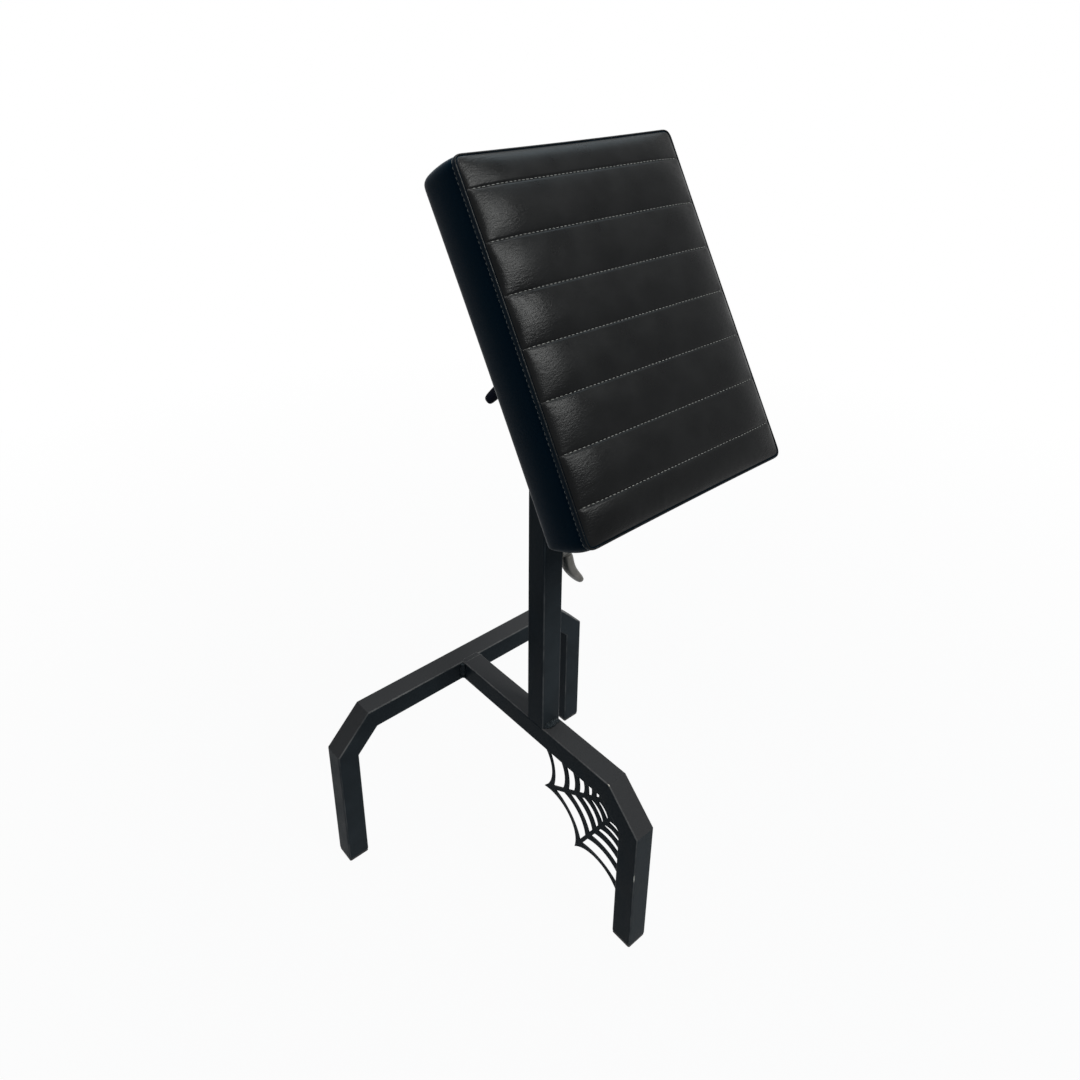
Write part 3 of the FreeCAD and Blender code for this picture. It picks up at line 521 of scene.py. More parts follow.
# The pad, made flat about its face seam's middle and turned into place at the end.
padSizes = {
    "half": (0.175, 0.225),
    "corner": 0.008,
    "pull": 0.001,  # the sides are drawn in this much at their middles
    "footPull": 0.0065,  # the lower end leans in this much towards the back
    "footFrom": 0.02, "footOver": 0.045,
    "pivot": (0.0, 0.0144, 0.949),
    "seamReach": 0.171,  # pivot to the face seam
    "columns": 25,  # between the finer columns at the sides
    "seams": [0.003 + 0.061 * step for step in range(-3, 4)],
    "halfChannel": 0.0305,
    "fromEdge": [0, 0.003, 0.008, 0.015, 0.024],
    "fromSeam": [0, 0.0022, 0.006, 0.0125, 0.0215],
    "crown": [(0, 0), (0.003, 0.0031), (0.006, 0.0048), (0.012, 0.0068), (0.020, 0.0089), (0.028, 0.0106),
              (0.038, 0.0119), (0.050, 0.0126), (0.066, 0.0129), (0.3, 0.0130)],
    "seamDrop": 0.0034,  # a sewn seam below the crown, reached this far in from the edge
    "dropReach": 0.02,
    "roundness": 0.7,  # of a channel between its seams
    "swell": 0.0030,  # the most that a channel swells over its rest form
}
# boxing below the face seam: level, distance out from the seam's outline, and how firmly it is held
boxing = [(-0.0010, 0.0002, 1), (0.0003, 0.0005, 1), (0.0009, 0.0009, 1), (0.0005, 0.0022, 1),
          (0.0, 0.0028, 1), (-0.0018, 0.0030, 1), (-0.0048, 0.0027, 1), (-0.0060, 0.0019, 1),
          (-0.0072, 0.0027, 1), (-0.013, 0.0040, 0), (-0.024, 0.0053, 0), (-0.038, 0.0060, 0),
          (-0.052, 0.0057, 0), (-0.0625, 0.0048, 0), (-0.0690, 0.0024, 1), (-0.0731, -0.0014, 1),
          (-0.0754, -0.0052, 1), (-0.0760, -0.0096, 1), (-0.0760, -0.0240, 1), (-0.0750, -0.0250, 1),
          (-0.0601, -0.0250, 1)]
padFrame = Matrix.Translation(padSizes["pivot"]) @ Matrix.Rotation(padTilt, 4, "X") \
    @ Matrix.Translation((0, 0, padSizes["seamReach"]))
(padX, padY), padCorner = padSizes["half"], padSizes["corner"]
coreX, coreY = padX - padCorner, padY - padCorner
tiny = 1e-5


def onCurve(points, value):
    for (left, low), (right, high) in zip(points, points[1:]):
        if value <= right:
            share = (value - left) / (right - left)
            return low + (high - low) * share
    return points[-1][1]


# square grid corner turned into the pad's round one, and sides drawn in
def padPlan(x, y):
    if abs(x) > coreX and abs(y) > coreY:
        a, b = (abs(x) - coreX) / padCorner, (abs(y) - coreY) / padCorner
        x = math.copysign(coreX + padCorner * a * math.sqrt(1 - b * b / 2), x)
        y = math.copysign(coreY + padCorner * b * math.sqrt(1 - a * a / 2), y)
    drawX = padSizes["pull"] * (1 - (y / padY) ** 2) * (x / padX)
    drawY = padSizes["pull"] * (1 - (x / padX) ** 2) * (y / padY)
    return x - drawX, y - drawY


def outwardAt(x, y):
    away = Vector((x - max(-coreX, min(coreX, x)), y - max(-coreY, min(coreY, y)), 0))
    return away.normalized()


def seamDistance(y):
    return min(abs(y - seam) for seam in padSizes["seams"])


def edgeDistance(x, y):
    return max(min(padX - abs(x), padY - abs(y)), 0)


def crownHeight(x, y):
    crown = padSizes["crown"]
    return onCurve(crown, padX - abs(x)) * onCurve(crown, padY - abs(y)) / crown[-1][1]


# height of the face's rest form over its seam plane
def faceHeight(x, y):
    inside = min(1, edgeDistance(x, y) / padSizes["dropReach"])
    share = min(1, seamDistance(y) / padSizes["halfChannel"])
    channel = math.sin(math.pi * share / 2) ** padSizes["roundness"]
    return max(crownHeight(x, y) - padSizes["seamDrop"] * inside * (1 - channel), 0)


# where the rows and columns of the face run: closer together beside seams and edges
def padRows():
    edge, seam, seams = padSizes["fromEdge"], padSizes["fromSeam"], padSizes["seams"]
    low = [-padY + step for step in edge] + [seams[0] - step for step in seam[:-1]]
    high = [seams[-1] + step for step in seam[:-1]] + [padY - step for step in edge[:-1]]
    middle = [first + step for first in seams[:-1] for step in seam + [padSizes["halfChannel"]]]
    middle += [last - step for last in seams[1:] for step in seam]
    return sorted({round(value, 5) for value in low + middle + high})


def padColumns():
    edge, count = padSizes["fromEdge"], padSizes["columns"]
    middle = [(padX - edge[-1]) * (2 * step / count - 1) for step in range(1, count)]
    return [-padX + step for step in edge] + middle + [padX - step for step in reversed(edge)]


def makePadFace():
    rows, columns = padRows(), padColumns()
    bm = bmesh.new()
    bmesh.ops.create_grid(bm, x_segments=len(columns) - 1, y_segments=len(rows) - 1, size=1)
    held = bm.verts.layers.deform.verify()
    for vert in bm.verts:
        x = columns[round((vert.co.x + 1) / 2 * (len(columns) - 1))]
        y = rows[round((vert.co.y + 1) / 2 * (len(rows) - 1))]
        vert.co = Vector((*padPlan(x, y), faceHeight(x, y)))
        if seamDistance(y) < tiny or edgeDistance(x, y) < tiny:
            vert[held][0] = 1.0
    return bm, held


# the boxing grows from the face's rim, one level after another
def makePadShell():
    bm, held = makePadFace()
    rim = [edge for edge in bm.edges if edge.is_boundary]
    plan = {vert: (vert.co.copy(), outwardAt(vert.co.x, vert.co.y)) for edge in rim for vert in edge.verts}
    for level, out, firm in boxing:
        grown = bmesh.ops.extrude_edge_only(bm, edges=rim)["geom"]
        rim = [item for item in grown if isinstance(item, bmesh.types.BMEdge) and item.is_boundary]
        depth = min(1, max(0, -level - padSizes["footFrom"]) / padSizes["footOver"])
        lower = {}
        for vert in (item for item in grown if isinstance(item, bmesh.types.BMVert)):
            upper = next(edge.other_vert(vert) for edge in vert.link_edges if edge.other_vert(vert) in plan)
            foot, away = lower[vert] = plan[upper]
            leaning = padSizes["footPull"] * max(-away.y, 0) * depth
            vert.co = foot + away * out + Vector((0, leaning, level))
            vert[held][0] = firm
        plan = lower
    bmesh.ops.recalc_face_normals(bm, faces=bm.faces)
    if max(bm.faces, key=lambda face: face.calc_center_median().z).normal.z < 0:
        bmesh.ops.reverse_faces(bm, faces=bm.faces)
    shell = pieceFrom(bm, "padCover", finishes["vinyl"])
    shell.vertex_groups.new(name="held")
    return shell


clothSettings = {
    "quality": 6, "mass": 0.3, "tension_stiffness": 25, "compression_stiffness": 25, "bending_stiffness": 1.5,
    "use_pressure": True, "uniform_pressure_force": 4.0, "vertex_group_mass": "held", "pin_stiffness": 1,
}
clothFrames = 20


# air pressure swells the cloth between its held seams, up to a cap
def swellPad(shell):
    rest = [vert.co.copy() for vert in shell.data.vertices]
    cloth = shell.modifiers.new("swell", "CLOTH")
    for name, value in clothSettings.items():
        setattr(cloth.settings, name, value)
    cloth.settings.effector_weights.gravity = 0
    cloth.point_cache.frame_start = 1
    cloth.point_cache.frame_end = clothFrames
    for step in range(1, clothFrames + 1):
        scene.frame_set(step)
    swollen = shell.evaluated_get(bpy.context.evaluated_depsgraph_get()).data
    moved = [swollen.vertices[index].co - place for index, place in enumerate(rest)]
    largest = max(move.length for move in moved)
    print("pad swells by", round(largest * 1000, 2), "mm before its cap")
    shell.modifiers.clear()
    cap = padSizes["swell"]
    for vert, place, move in zip(shell.data.vertices, rest, moved):
        vert.co = place + move.normalized() * cap * (1 - math.exp(-move.length / cap))
    scene.frame_set(1)


def closeBack(shell):
    bm = bmesh.new()
    bm.from_mesh(shell.data)
    bmesh.ops.holes_fill(bm, edges=[edge for edge in bm.edges if edge.is_boundary], sides=0)
    bm.to_mesh(shell.data)
    bm.free()


wrinkleSizes = {
    "height": 0.00013,
    "from": 0.0012,  # level over the seam plane where the face begins
    "fade": 0.006,  # they rise to full height this far in from the edge
    "groove": (0.0012, 0.0015),  # depth and half width of a sewn groove
    # size across x and y, and layer of its noise
    "pucker": (0.0048, 0.016, 3), "puckerReach": 0.006, "puckerShare": 1.2,
    "strokes": (0.024, 0.0042, 9), "strokesAt": (0.014, 0.017),
    "ends": (0.005, 0.022, 5), "endsAt": (0.010, 0.012),
    "broad": (0.05, 0.035, 1), "broadHeight": 0.00035,
}


def wrinkle(name, x, y):
    across, along, layer = wrinkleSizes[name]
    return noise.noise(Vector((x / across, y / along, layer)))


def bell(distance, middle, reach):
    return math.exp(-((distance - middle) / reach) ** 2)


# creases and sewn grooves that are finer than the swelling
def dressPad(shell):
    sizes = wrinkleSizes
    for vert in shell.data.vertices:
        x, y, level = vert.co
        if level < sizes["from"]:
            continue
        fromSeam = seamDistance(y)
        fromSide, fromEnd = padX - abs(x), padY - abs(y)
        fade = min(1, min(fromSide, fromEnd) / sizes["fade"])
        depth, halfWidth = sizes["groove"]
        groove = -depth * bell(fromSeam, 0, halfWidth)
        pucker = wrinkle("pucker", x, y) * bell(fromSeam, 0, sizes["puckerReach"])
        strokes = wrinkle("strokes", x, y) * bell(fromSide, *sizes["strokesAt"])
        ends = wrinkle("ends", x, y) * bell(fromEnd, *sizes["endsAt"])
        fine = (sizes["puckerShare"] * pucker + strokes + ends) * sizes["height"]
        vert.co.z += (groove + fine + wrinkle("broad", x, y) * sizes["broadHeight"]) * fade


print("sewing the pad")
padCover = makePadShell()
swellPad(padCover)
finer = padCover.modifiers.new("finer", "SUBSURF")
finer.levels = finer.render_levels = 2
bakeModifiers(padCover)
closeBack(padCover)
dressPad(padCover)
padCover.data.transform(padFrame)
for face in padCover.data.polygons:
    face.use_smooth = True
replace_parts(padCover, "pad_cover")
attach(padCover, "pad_head")
print("pad cover:", len(padCover.data.polygons), "faces")


# Stitching.
stitchSizes = {
    "pitch": 0.0061, "length": 0.0041,
    "radius": 0.00048, "sink": 0.8,  # a stitch's middle lies this share of its radius over the cover
    "fromEnd": 0.0045,  # from a channel seam's last stitch to the face's edge
    "above": 0.05,  # start of the rays that find the cover
    "topRadius": 0.0006, "topLevel": -0.0060, "topOut": 0.0021,
    "sideSteps": 600,
}


def stitchShape():
    bm = bmesh.new()
    bmesh.ops.create_uvsphere(bm, u_segments=8, v_segments=5, radius=1)
    bmesh.ops.rotate(bm, cent=(0, 0, 0), matrix=Matrix.Rotation(math.pi / 2, 3, "Y"), verts=bm.verts)
    mesh = bpy.data.meshes.new("stitch")
    bm.to_mesh(mesh)
    bm.free()
    return mesh


def addStitch(bm, shape, start, finish, lift, radius):
    run = finish - start
    side = run.cross(lift).normalized()
    turn = Matrix((run.normalized(), side, side.cross(run).normalized())).transposed().to_4x4()
    size = Matrix.Diagonal((run.length / 2, radius, radius, 1))
    stitch = shape.copy()
    stitch.transform(Matrix.Translation((start + finish) / 2) @ turn @ size)
    bm.from_mesh(stitch)
    bpy.data.meshes.remove(stitch)


def sewnPiece(bm, name):
    stitches = pieceFrom(bm, name, finishes["thread"])
    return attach(stitches, "pad_head")


# along the channel seams, laid on the cover as it has swollen
def makeSeamStitches():
    sizes = stitchSizes
    surface = BVHTree.FromObject(padCover, bpy.context.evaluated_depsgraph_get())
    outward = (padFrame.to_3x3() @ Vector((0, 0, 1))).normalized()
    bm, shape = bmesh.new(), stitchShape()
    pitch = sizes["pitch"]
    count = int(2 * (padX - sizes["fromEnd"]) / pitch)
    for seam in padSizes["seams"]:
        for step in range(count):
            ends = []
            for offset in (0.0, sizes["length"]):
                x = -count * pitch / 2 + step * pitch + offset
                spot, normal, _, _ = surface.ray_cast(padFrame @ Vector((x, seam, sizes["above"])), -outward)
                ends.append((spot + normal * sizes["radius"] * sizes["sink"], normal))
            (start, lift), (finish, _) = ends
            addStitch(bm, shape, start, finish, lift, sizes["radius"])
    sewnPiece(bm, "seamStitches")


# the pad's outline in order, with its outward directions
def padOutline():
    corners = [(-padX, -padY), (padX, -padY), (padX, padY), (-padX, padY)]
    steps = stitchSizes["sideSteps"]
    found = []
    for (x0, y0), (x1, y1) in zip(corners, corners[1:] + corners[:1]):
        for step in range(steps):
            share = step / steps
            x, y = padPlan(x0 + (x1 - x0) * share, y0 + (y1 - y0) * share)
            found.append((Vector((x, y, 0)), outwardAt(x, y)))
    return found


# a line of thread round the boxing, just under the face seam
def makeTopStitches():
    sizes = stitchSizes
    outline = padOutline()
    travelled = [0.0]
    for (first, _), (second, _) in zip(outline, outline[1:] + outline[:1]):
        travelled.append(travelled[-1] + (second - first).length)
    total = travelled[-1]
    count = round(total / sizes["pitch"])

    def placeAt(distance):
        passed = bisect.bisect_left(travelled, distance % total) - 1
        foot, away = outline[max(passed, 0)]
        return foot + away * sizes["topOut"] + Vector((0, 0, sizes["topLevel"])), away

    bm, shape = bmesh.new(), stitchShape()
    for step in range(count):
        start = total * step / count
        (first, away), (second, _) = placeAt(start), placeAt(start + sizes["length"])
        lift = padFrame.to_3x3() @ away
        addStitch(bm, shape, padFrame @ first, padFrame @ second, lift, sizes["topRadius"])
    sewnPiece(bm, "edgeStitches")


makeSeamStitches()
makeTopStitches()
print("stitching done")


# Staples round the dust cloth.
stapleSizes = {
    # staples in a row, its half length, its distance from the middle, and its quarter turn
    "rows": [(7, 0.144, 0.194, 0), (10, 0.194, 0.144, math.pi / 2)],
    "fromCorner": 0.012, "level": -0.0762,
    "crown": 0.010, "wire": 0.0007, "flat": 1.6, "bevel": 0.00022,
    "lean": (0.35, 90),  # the most that one stands askew, and how fast that changes
}


def makeStaples():
    sizes = stapleSizes
    size = Matrix.Diagonal((sizes["crown"], sizes["wire"] * sizes["flat"], sizes["wire"], 1))
    bm = bmesh.new()
    most, pace = sizes["lean"]
    for count, half, other, quarter in sizes["rows"]:
        reach = half - sizes["fromCorner"]
        for sign, step in [(sign, step) for sign in (-1, 1) for step in range(count)]:
            along = reach * (2 * step / (count - 1) - 1)
            lean = noise.noise(Vector((along * pace, sign, count))) * most
            x, y = (other * sign, along) if quarter else (along, other * sign)
            place = Matrix.Translation((x, y, sizes["level"])) @ Matrix.Rotation(quarter + lean, 4, "Z")
            wire = bmesh.ops.create_cube(bm, size=1, matrix=place @ size)
            edges = list({edge for vert in wire["verts"] for edge in vert.link_edges})
            bevelEdges(bm, edges, sizes["bevel"], 2)
    bmesh.ops.transform(bm, matrix=padFrame, verts=bm.verts)
    staples = pieceFrom(bm, "clothStaples", finishes["steel"])
    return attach(staples, "pad_head")


makeStaples()
print("staples done")


# Weld beads.
weldSizes = {
    "leg": 0.0082, "tackLeg": 0.0034, "tackLength": 0.022, "tackShare": 0.6,
    "step": 0.0006, "around": 8,  # mesh steps along a bead, and round it
    "ripple": 0.0042,  # from one ripple to the next
    "radius": (0.74, 0.16, 0.34),  # shares of the leg: plain, rippled and uneven
    "uneven": (170, 0.8, 3.7),
    "hollow": 0.16, "endReach": 0.8, "wall": 0.0006,
    "ground": (0.0050, 0.00022), "groundUneven": 0.25,  # a bead ground off flush: half width and height
    # the frame that they join
    "tube": 0.038, "rounding": 0.003, "baseTop": 0.305, "crossY": 0.2294, "postY": 0.0144, "frontY": -0.2166,
    "web": 0.003, "webReach": 0.21,
}


# rippled quarter round bead in a corner, from start along a run, between two faces
def addBead(bm, start, along, faceA, faceB, leg, length, seed):
    sizes = weldSizes
    steps = max(int(length / sizes["step"]), 12)
    plain, rippled, uneven = sizes["radius"]
    fine, roundwise, apart = sizes["uneven"]
    grid = bmesh.ops.create_grid(bm, x_segments=steps, y_segments=sizes["around"], size=1)["verts"]
    for vert in grid:
        share, turn = (vert.co.x + 1) / 2, (vert.co.y + 1) / 2 * math.pi / 2
        wave = 1 - ((share * length / sizes["ripple"]) % 1)
        wobble = noise.noise(Vector((share * length * fine, turn * roundwise, seed * apart)))
        ends = min(1, min(share, 1 - share) * length / (leg * sizes["endReach"]))
        radius = leg * (plain + rippled * wave + uneven * wobble) * math.sqrt(max(ends * (2 - ends), 0))
        crown = radius * (1 - sizes["hollow"] * math.sin(2 * turn))
        across = faceA * (crown * math.cos(turn)) + faceB * (crown * math.sin(turn))
        vert.co = start + along * (share * length) + across


# a bead ground off flush, a hair above the top faces of stem and cross bar
def addGroundBead(bm, middle, halfLength):
    halfWidth, height = weldSizes["ground"]
    grid = bmesh.ops.create_grid(bm, x_segments=40, y_segments=12, size=1)["verts"]
    for vert in grid:
        x, y = vert.co.x, vert.co.y
        spread = halfWidth * (1 + weldSizes["groundUneven"] * noise.noise(Vector((x * 4, y, 8))))
        rise = height * (1 - max(abs(x) ** 8, y * y))
        vert.co = middle + Vector((x * halfLength, y * spread, rise))


def beadPiece(bm, name, material):
    bmesh.ops.remove_doubles(bm, verts=bm.verts, dist=1e-7)
    beads = pieceFrom(bm, name, material)
    wall = beads.modifiers.new("wall", "SOLIDIFY")
    wall.thickness, wall.offset = weldSizes["wall"], -1
    bakeModifiers(beads)
    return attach(beads, "base")


# beads down the stem's root and across the post's foot, and tacks on both sides of the web
def weldRuns():
    sizes = weldSizes
    half, top, under = sizes["tube"] / 2, sizes["baseTop"], sizes["baseTop"] - sizes["tube"]
    leg, run = sizes["leg"], sizes["tube"] - 2 * sizes["rounding"]
    crossFace, low = sizes["crossY"] - half, under + sizes["rounding"]
    x, y, z = Vector((1, 0, 0)), Vector((0, 1, 0)), Vector((0, 0, 1))
    sides = (-1, 1)
    runs = [(Vector((side * half, crossFace, low)), z, x * side, -y, leg, run) for side in sides]
    runs += [(Vector((-run / 2, sizes["postY"] + side * half, top)), x, z, y * side, leg, run)
             for side in sides]
    corner = sizes["frontY"] + sizes["tube"]
    tackLeg, tackLength = sizes["tackLeg"], sizes["tackLength"]
    tackAt = sizes["webReach"] * sizes["tackShare"] - tackLength / 2
    for side in sides:
        face = side * sizes["web"] / 2
        below = Vector((face, corner + tackAt, under))
        beside = Vector((face, corner, under - tackAt - tackLength))
        runs += [(below, y, x * side, -z, tackLeg, tackLength), (beside, z, x * side, y, tackLeg, tackLength)]
    return runs


def makeWeldBeads():
    sizes = weldSizes
    bm = bmesh.new()
    for seed, values in enumerate(weldRuns()):
        addBead(bm, *values, seed)
    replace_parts(beadPiece(bm, "weldBeads", finishes["bead"]), "frame_weld_beads")
    ground = bmesh.new()
    halfTube = sizes["tube"] / 2
    middle = Vector((0, sizes["crossY"] - halfTube, sizes["baseTop"]))
    addGroundBead(ground, middle, halfTube - sizes["rounding"])
    beadPiece(ground, "groundBead", finishes["frame"])


makeWeldBeads()
print("weld beads done")


# Clamp levers. Heights are along the turning axis, from the toothed end's face.
leverSizes = {
    "height": 0.033, "hub": 0.0095, "gap": 0.0003, "bevel": 0.0012,
    "well": (0.00505, 0.0173),  # radius, and the height of its floor
    "throat": (0.0028, 0.002),  # the same
    "socket": (0.00665, 0.0123),  # radius, and the height of its roof
    "below": 0.01, "voxel": 0.00045, "relaxes": 6,
}
# reach, width and thickness of each arm, and its stations: reach, rise, width and thickness, as shares
leverArms = {
    "heightLever": ((0.065, 0.0225, 0.0150), [
        (0.05, 0.42, 1.06, 1.10), (0.25, 0.42, 1.14, 1.16), (0.50, 0.50, 1.16, 1.16),
        (0.74, 0.80, 1.08, 1.02), (0.92, 1.08, 0.98, 0.86), (0.99, 1.17, 0.68, 0.58)]),
    "tiltLever": ((0.0755, 0.0172, 0.0120), [
        (0.06, 0.76, 1.16, 1.22), (0.25, 0.76, 1.14, 1.18), (0.48, 0.82, 1.10, 1.12),
        (0.72, 1.10, 1.04, 1.02), (0.92, 1.37, 0.94, 0.86), (0.99, 1.445, 0.66, 0.58)]),
}


def drum(name, radius, low, high, bevel=0.0):
    bm = bmesh.new()
    bmesh.ops.create_cone(bm, cap_ends=True, segments=72, radius1=radius, radius2=radius, depth=high - low)
    bmesh.ops.translate(bm, vec=(0, 0, (high + low) / 2), verts=bm.verts)
    if bevel:
        edges = [edge for edge in bm.edges if all(vert.co.z > high - 1e-6 for vert in edge.verts)]
        bevelEdges(bm, edges, bevel, 4)
    return pieceFrom(bm, name, finishes["steel"], False)


def lengthwise(bm):
    return [edge for edge in bm.edges if abs(edge.verts[0].co.x - edge.verts[1].co.x) > 1]


# swept arm with rounded corners through its stations
def leverArm(name):
    (longest, widest, thickest), stations = leverArms[name]
    height = leverSizes["height"]
    points = [(Vector((reach * longest, 0, rise * height)), width * widest / 2, thick * thickest / 2)
              for reach, rise, width, thick in stations]
    last = len(points) - 1
    bm = bmesh.new()
    bmesh.ops.create_cube(bm, size=2)
    bevelEdges(bm, lengthwise(bm), 0.5, 1)
    bmesh.ops.subdivide_edges(bm, edges=lengthwise(bm), cuts=last - 1)
    for vert in bm.verts:
        index = round((vert.co.x + 1) / 2 * last)
        middle, width, thick = points[index]
        run = (points[min(index + 1, last)][0] - points[max(index - 1, 0)][0]).normalized()
        up = Vector((-run.z, 0, run.x))
        vert.co = middle + Vector((0, vert.co.y * width, 0)) + up * (vert.co.z * thick)
    bmesh.ops.recalc_face_normals(bm, faces=bm.faces)
    arm = pieceFrom(bm, name + "Arm", finishes["steel"], False)
    rounder = arm.modifiers.new("rounder", "SUBSURF")
    rounder.levels = rounder.render_levels = 2
    return bakeModifiers(arm)


# from a lever's own directions, turning axis up and arm along X, to its place
def leverTurn(base, along, outward):
    zAxis, xAxis = Vector(along).normalized(), Vector(outward).normalized()
    turn = Matrix((xAxis, zAxis.cross(xAxis), zAxis)).transposed().to_4x4()
    return Matrix.Translation(base) @ turn


# hub and arm, bored for screw, spring and teeth, then skinned over as one casting
def makeLever(name, material, base, along, outward):
    sizes = leverSizes
    (well, wellFloor), (throat, throatFloor) = sizes["well"], sizes["throat"]
    socket, socketRoof = sizes["socket"]
    hub = drum(name + "Hub", sizes["hub"], sizes["gap"], sizes["height"], sizes["bevel"])
    cutters = [leverArm(name),
               drum(name + "Well", well, wellFloor, sizes["height"] * 2),
               drum(name + "Throat", throat, throatFloor, sizes["height"]),
               drum(name + "Socket", socket, -sizes["below"], socketRoof)]
    for cutter, operation in zip(cutters, ("UNION", "DIFFERENCE", "DIFFERENCE", "DIFFERENCE")):
        trim = hub.modifiers.new(cutter.name, "BOOLEAN")
        trim.object, trim.operation, trim.solver = cutter, operation, "EXACT"
    bakeModifiers(hub)
    for cutter in cutters:
        bpy.data.objects.remove(cutter)
    skin = hub.modifiers.new("skin", "REMESH")
    skin.mode, skin.voxel_size, skin.use_smooth_shade = "VOXEL", sizes["voxel"], True
    relax = hub.modifiers.new("relax", "SMOOTH")
    relax.factor, relax.iterations = 0.5, sizes["relaxes"]
    bakeModifiers(hub)
    hub.data.transform(leverTurn(base, along, outward))
    hub.name = name
    hub.data.materials.clear()
    hub.data.materials.append(material)
    return hub


# return spring under the retaining screw's head, flattened when its lever is lifted
springSizes = {
    "wire": 0.00042, "radius": 0.00405, "foot": 0.01735, "seat": 0.02798, "turns": 5.6,
    "closed": 0.9,  # turns that lie flat at each end
    "perTurn": 26,
}


def makeSpring(name, base, along, outward):
    wire, radius, foot, seat, turns, closed, perTurn = springSizes.values()
    low, high = foot + wire, seat - wire
    steps = int(turns * perTurn)
    bm = bmesh.new()
    coil = bmesh.ops.create_grid(bm, x_segments=steps, y_segments=8, size=1)["verts"]
    for vert in coil:
        share, around = (vert.co.x + 1) / 2, vert.co.y * math.pi
        turned = share * turns
        opened = min(1, max(0, (turned - closed) / (turns - 2 * closed)))
        flat = min(turned, closed) + max(turned - turns + closed, 0)
        rise = low + flat * wire * 2 + opened * (high - low - 2 * closed * wire * 2)
        ends = min(1, min(share, 1 - share) * steps)
        thick = wire * math.sqrt(max(ends * (2 - ends), 0))
        angle = turned * 2 * math.pi
        outer = radius + thick * math.cos(around)
        vert.co = Vector((outer * math.cos(angle), outer * math.sin(angle), rise + thick * math.sin(around)))
    bmesh.ops.remove_doubles(bm, verts=bm.verts, dist=1e-7)
    bmesh.ops.recalc_face_normals(bm, faces=bm.faces)
    spring = pieceFrom(bm, name, finishes["steel"])
    spring.data.transform(leverTurn(base, along, outward))
    return spring


lean, drop = math.radians(8), math.radians(57)
# place of each lever's toothed end, its turning axis and where its arm points
leverPlaces = {
    "height": ((0.028, 0.0144, 0.618), (1, 0, 0), (0, -math.sin(lean), -math.cos(lean))),
    "tilt": ((-0.0281, 0.0144, 0.949), (-1, 0, 0), (0, math.cos(drop), -math.sin(drop))),
}
for name, slot, finish in (("height", "grey_cast", "greyCast"), ("tilt", "black_cast", "blackCast")):
    lever = makeLever(name + "Lever", finishes[finish], *leverPlaces[name])
    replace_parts(lever, name + "_lever_handle")
    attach(lever, name + "_handle")
for name, (base, along, outward) in leverPlaces.items():
    spring = makeSpring(name + "Spring", base, along, outward)
    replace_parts(spring, name + "_lever_spring")
    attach(spring, name + "_clamp")
    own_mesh(spring)
print("levers and springs done")


# Camera, fitted to the photograph: place, angles in degrees, focal length and optical centre in pixels.
cameraSizes = {"place": (-0.7474, -0.79825, 1.36221), "yaw": 39.89, "pitch": 24.22, "roll": -0.32,
               "focal": 864.78, "centre": (510.19, 409.91), "image": 1080, "sensor": 36, "far": 50}


def makeCamera():
    place, *angles, focal, (centreX, centreY), image, sensor, far = cameraSizes.values()
    yaw, pitch, roll = (math.radians(angle) for angle in angles)
    ahead = Vector((math.sin(yaw) * math.cos(pitch), math.cos(yaw) * math.cos(pitch), -math.sin(pitch)))
    right = Vector((math.cos(yaw), -math.sin(yaw), 0))
    up = right.cross(ahead)
    sideways = right * math.cos(roll) + up * math.sin(roll)
    upright = up * math.cos(roll) - right * math.sin(roll)
    turn = Matrix((sideways, upright, -ahead)).transposed().to_4x4()
    camera = bpy.data.objects.new("camera", bpy.data.cameras.new("camera"))
    camera.matrix_world = Matrix.Translation(place) @ turn
    camera.data.sensor_width = sensor
    camera.data.lens = focal / image * sensor
    camera.data.shift_x = (image / 2 - centreX) / image
    camera.data.shift_y = (centreY - image / 2) / image
    camera.data.clip_end = far
    scene.collection.objects.link(camera)
    scene.camera = camera


makeCamera()


# Floor, world and lamps.
lightSizes = {
    "sky": ((0.55, 0.80, 1.0), 0.10),
    "floorTone": (0.155, 0.20, 0.24),
    "floorGlow": (0.96, 1.0),  # share of plain white that is seen, near the stand and far off
    "glowReach": (0.6, 2.6),
    "floorSize": 60,
    # name: place, target, size, power, color
    "lamps": {
        "frontSoftbox": ((0.34, -1.81, 2.71), (0, -0.1, 0.9), 0.8, 74, (1, 0.965, 0.92)),
        "topSoftbox": ((0.1, 0.3, 3.1), (0, 0, 0.3), 1.6, 55, (1, 0.97, 0.93)),
        "sideSoftbox": ((1.45, 0.22, 3.2), (0, 0, 0.95), 1.0, 13, (0.72, 0.90, 1)),
    },
}


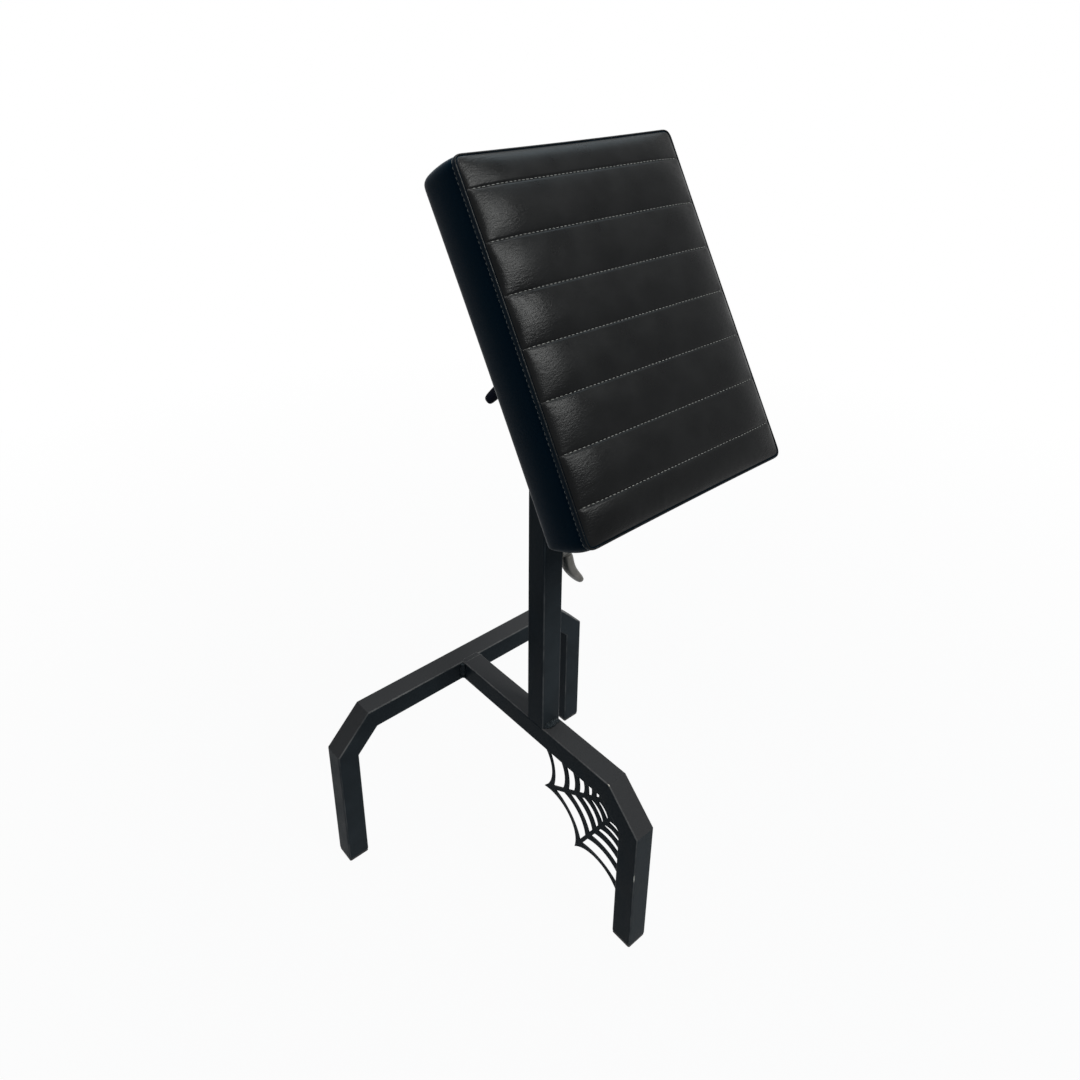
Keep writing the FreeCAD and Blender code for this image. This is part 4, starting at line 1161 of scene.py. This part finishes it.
# white where a ray is seen directly, in a gloss or through glass
def seenWhite(tree):
    path = addNode(tree, "ShaderNodeLightPath")
    either = maths(tree, "MAXIMUM", path.outputs["Is Camera Ray"], path.outputs["Is Glossy Ray"])
    return maths(tree, "MAXIMUM", either, path.outputs["Is Transmission Ray"])


def emptyTree(owner):
    owner.use_nodes = True
    owner.node_tree.nodes.clear()
    return owner.node_tree


def mixShaders(tree, share, first, second, output):
    mix = addNode(tree, "ShaderNodeMixShader")
    for source, target in zip((share, first.outputs[0], second.outputs[0]), mix.inputs):
        join(tree, source, target)
    join(tree, mix.outputs[0], addNode(tree, output).inputs["Surface"])


def makeFloor():
    material = bpy.data.materials.new("paleFloor")
    tree = emptyTree(material)
    matt = addNode(tree, "ShaderNodeBsdfDiffuse", Color=(*lightSizes["floorTone"], 1))
    glow = addNode(tree, "ShaderNodeEmission", Color=(1, 1, 1, 1), Strength=1.0)
    away = lengthOf(tree, objectSpace(tree))
    share = ramp(tree, away, *lightSizes["glowReach"], *lightSizes["floorGlow"])
    mixShaders(tree, product(tree, seenWhite(tree), share), matt, glow, "ShaderNodeOutputMaterial")
    bm = bmesh.new()
    bmesh.ops.create_grid(bm, x_segments=1, y_segments=1, size=lightSizes["floorSize"])
    pieceFrom(bm, "floor", material, False)


def makeWorld():
    world = bpy.data.worlds.new("studio")
    scene.world = world
    tree = emptyTree(world)
    color, strength = lightSizes["sky"]
    sky = addNode(tree, "ShaderNodeBackground", Color=(*color, 1), Strength=strength)
    seen = addNode(tree, "ShaderNodeBackground", Color=(1, 1, 1, 1))
    mixShaders(tree, seenWhite(tree), sky, seen, "ShaderNodeOutputWorld")


def makeLamps():
    for name, (place, target, size, power, color) in lightSizes["lamps"].items():
        lamp = bpy.data.lights.new(name, "AREA")
        lamp.shape = "SQUARE"
        lamp.size, lamp.energy, lamp.color = size, power, color
        holder = bpy.data.objects.new(name, lamp)
        holder.location = place
        holder.rotation_euler = (Vector(target) - Vector(place)).to_track_quat("-Z", "Y").to_euler()
        scene.collection.objects.link(holder)


makeFloor()
makeWorld()
makeLamps()
scene.view_settings.view_transform = "Standard"
print("floor, world and lamps made")
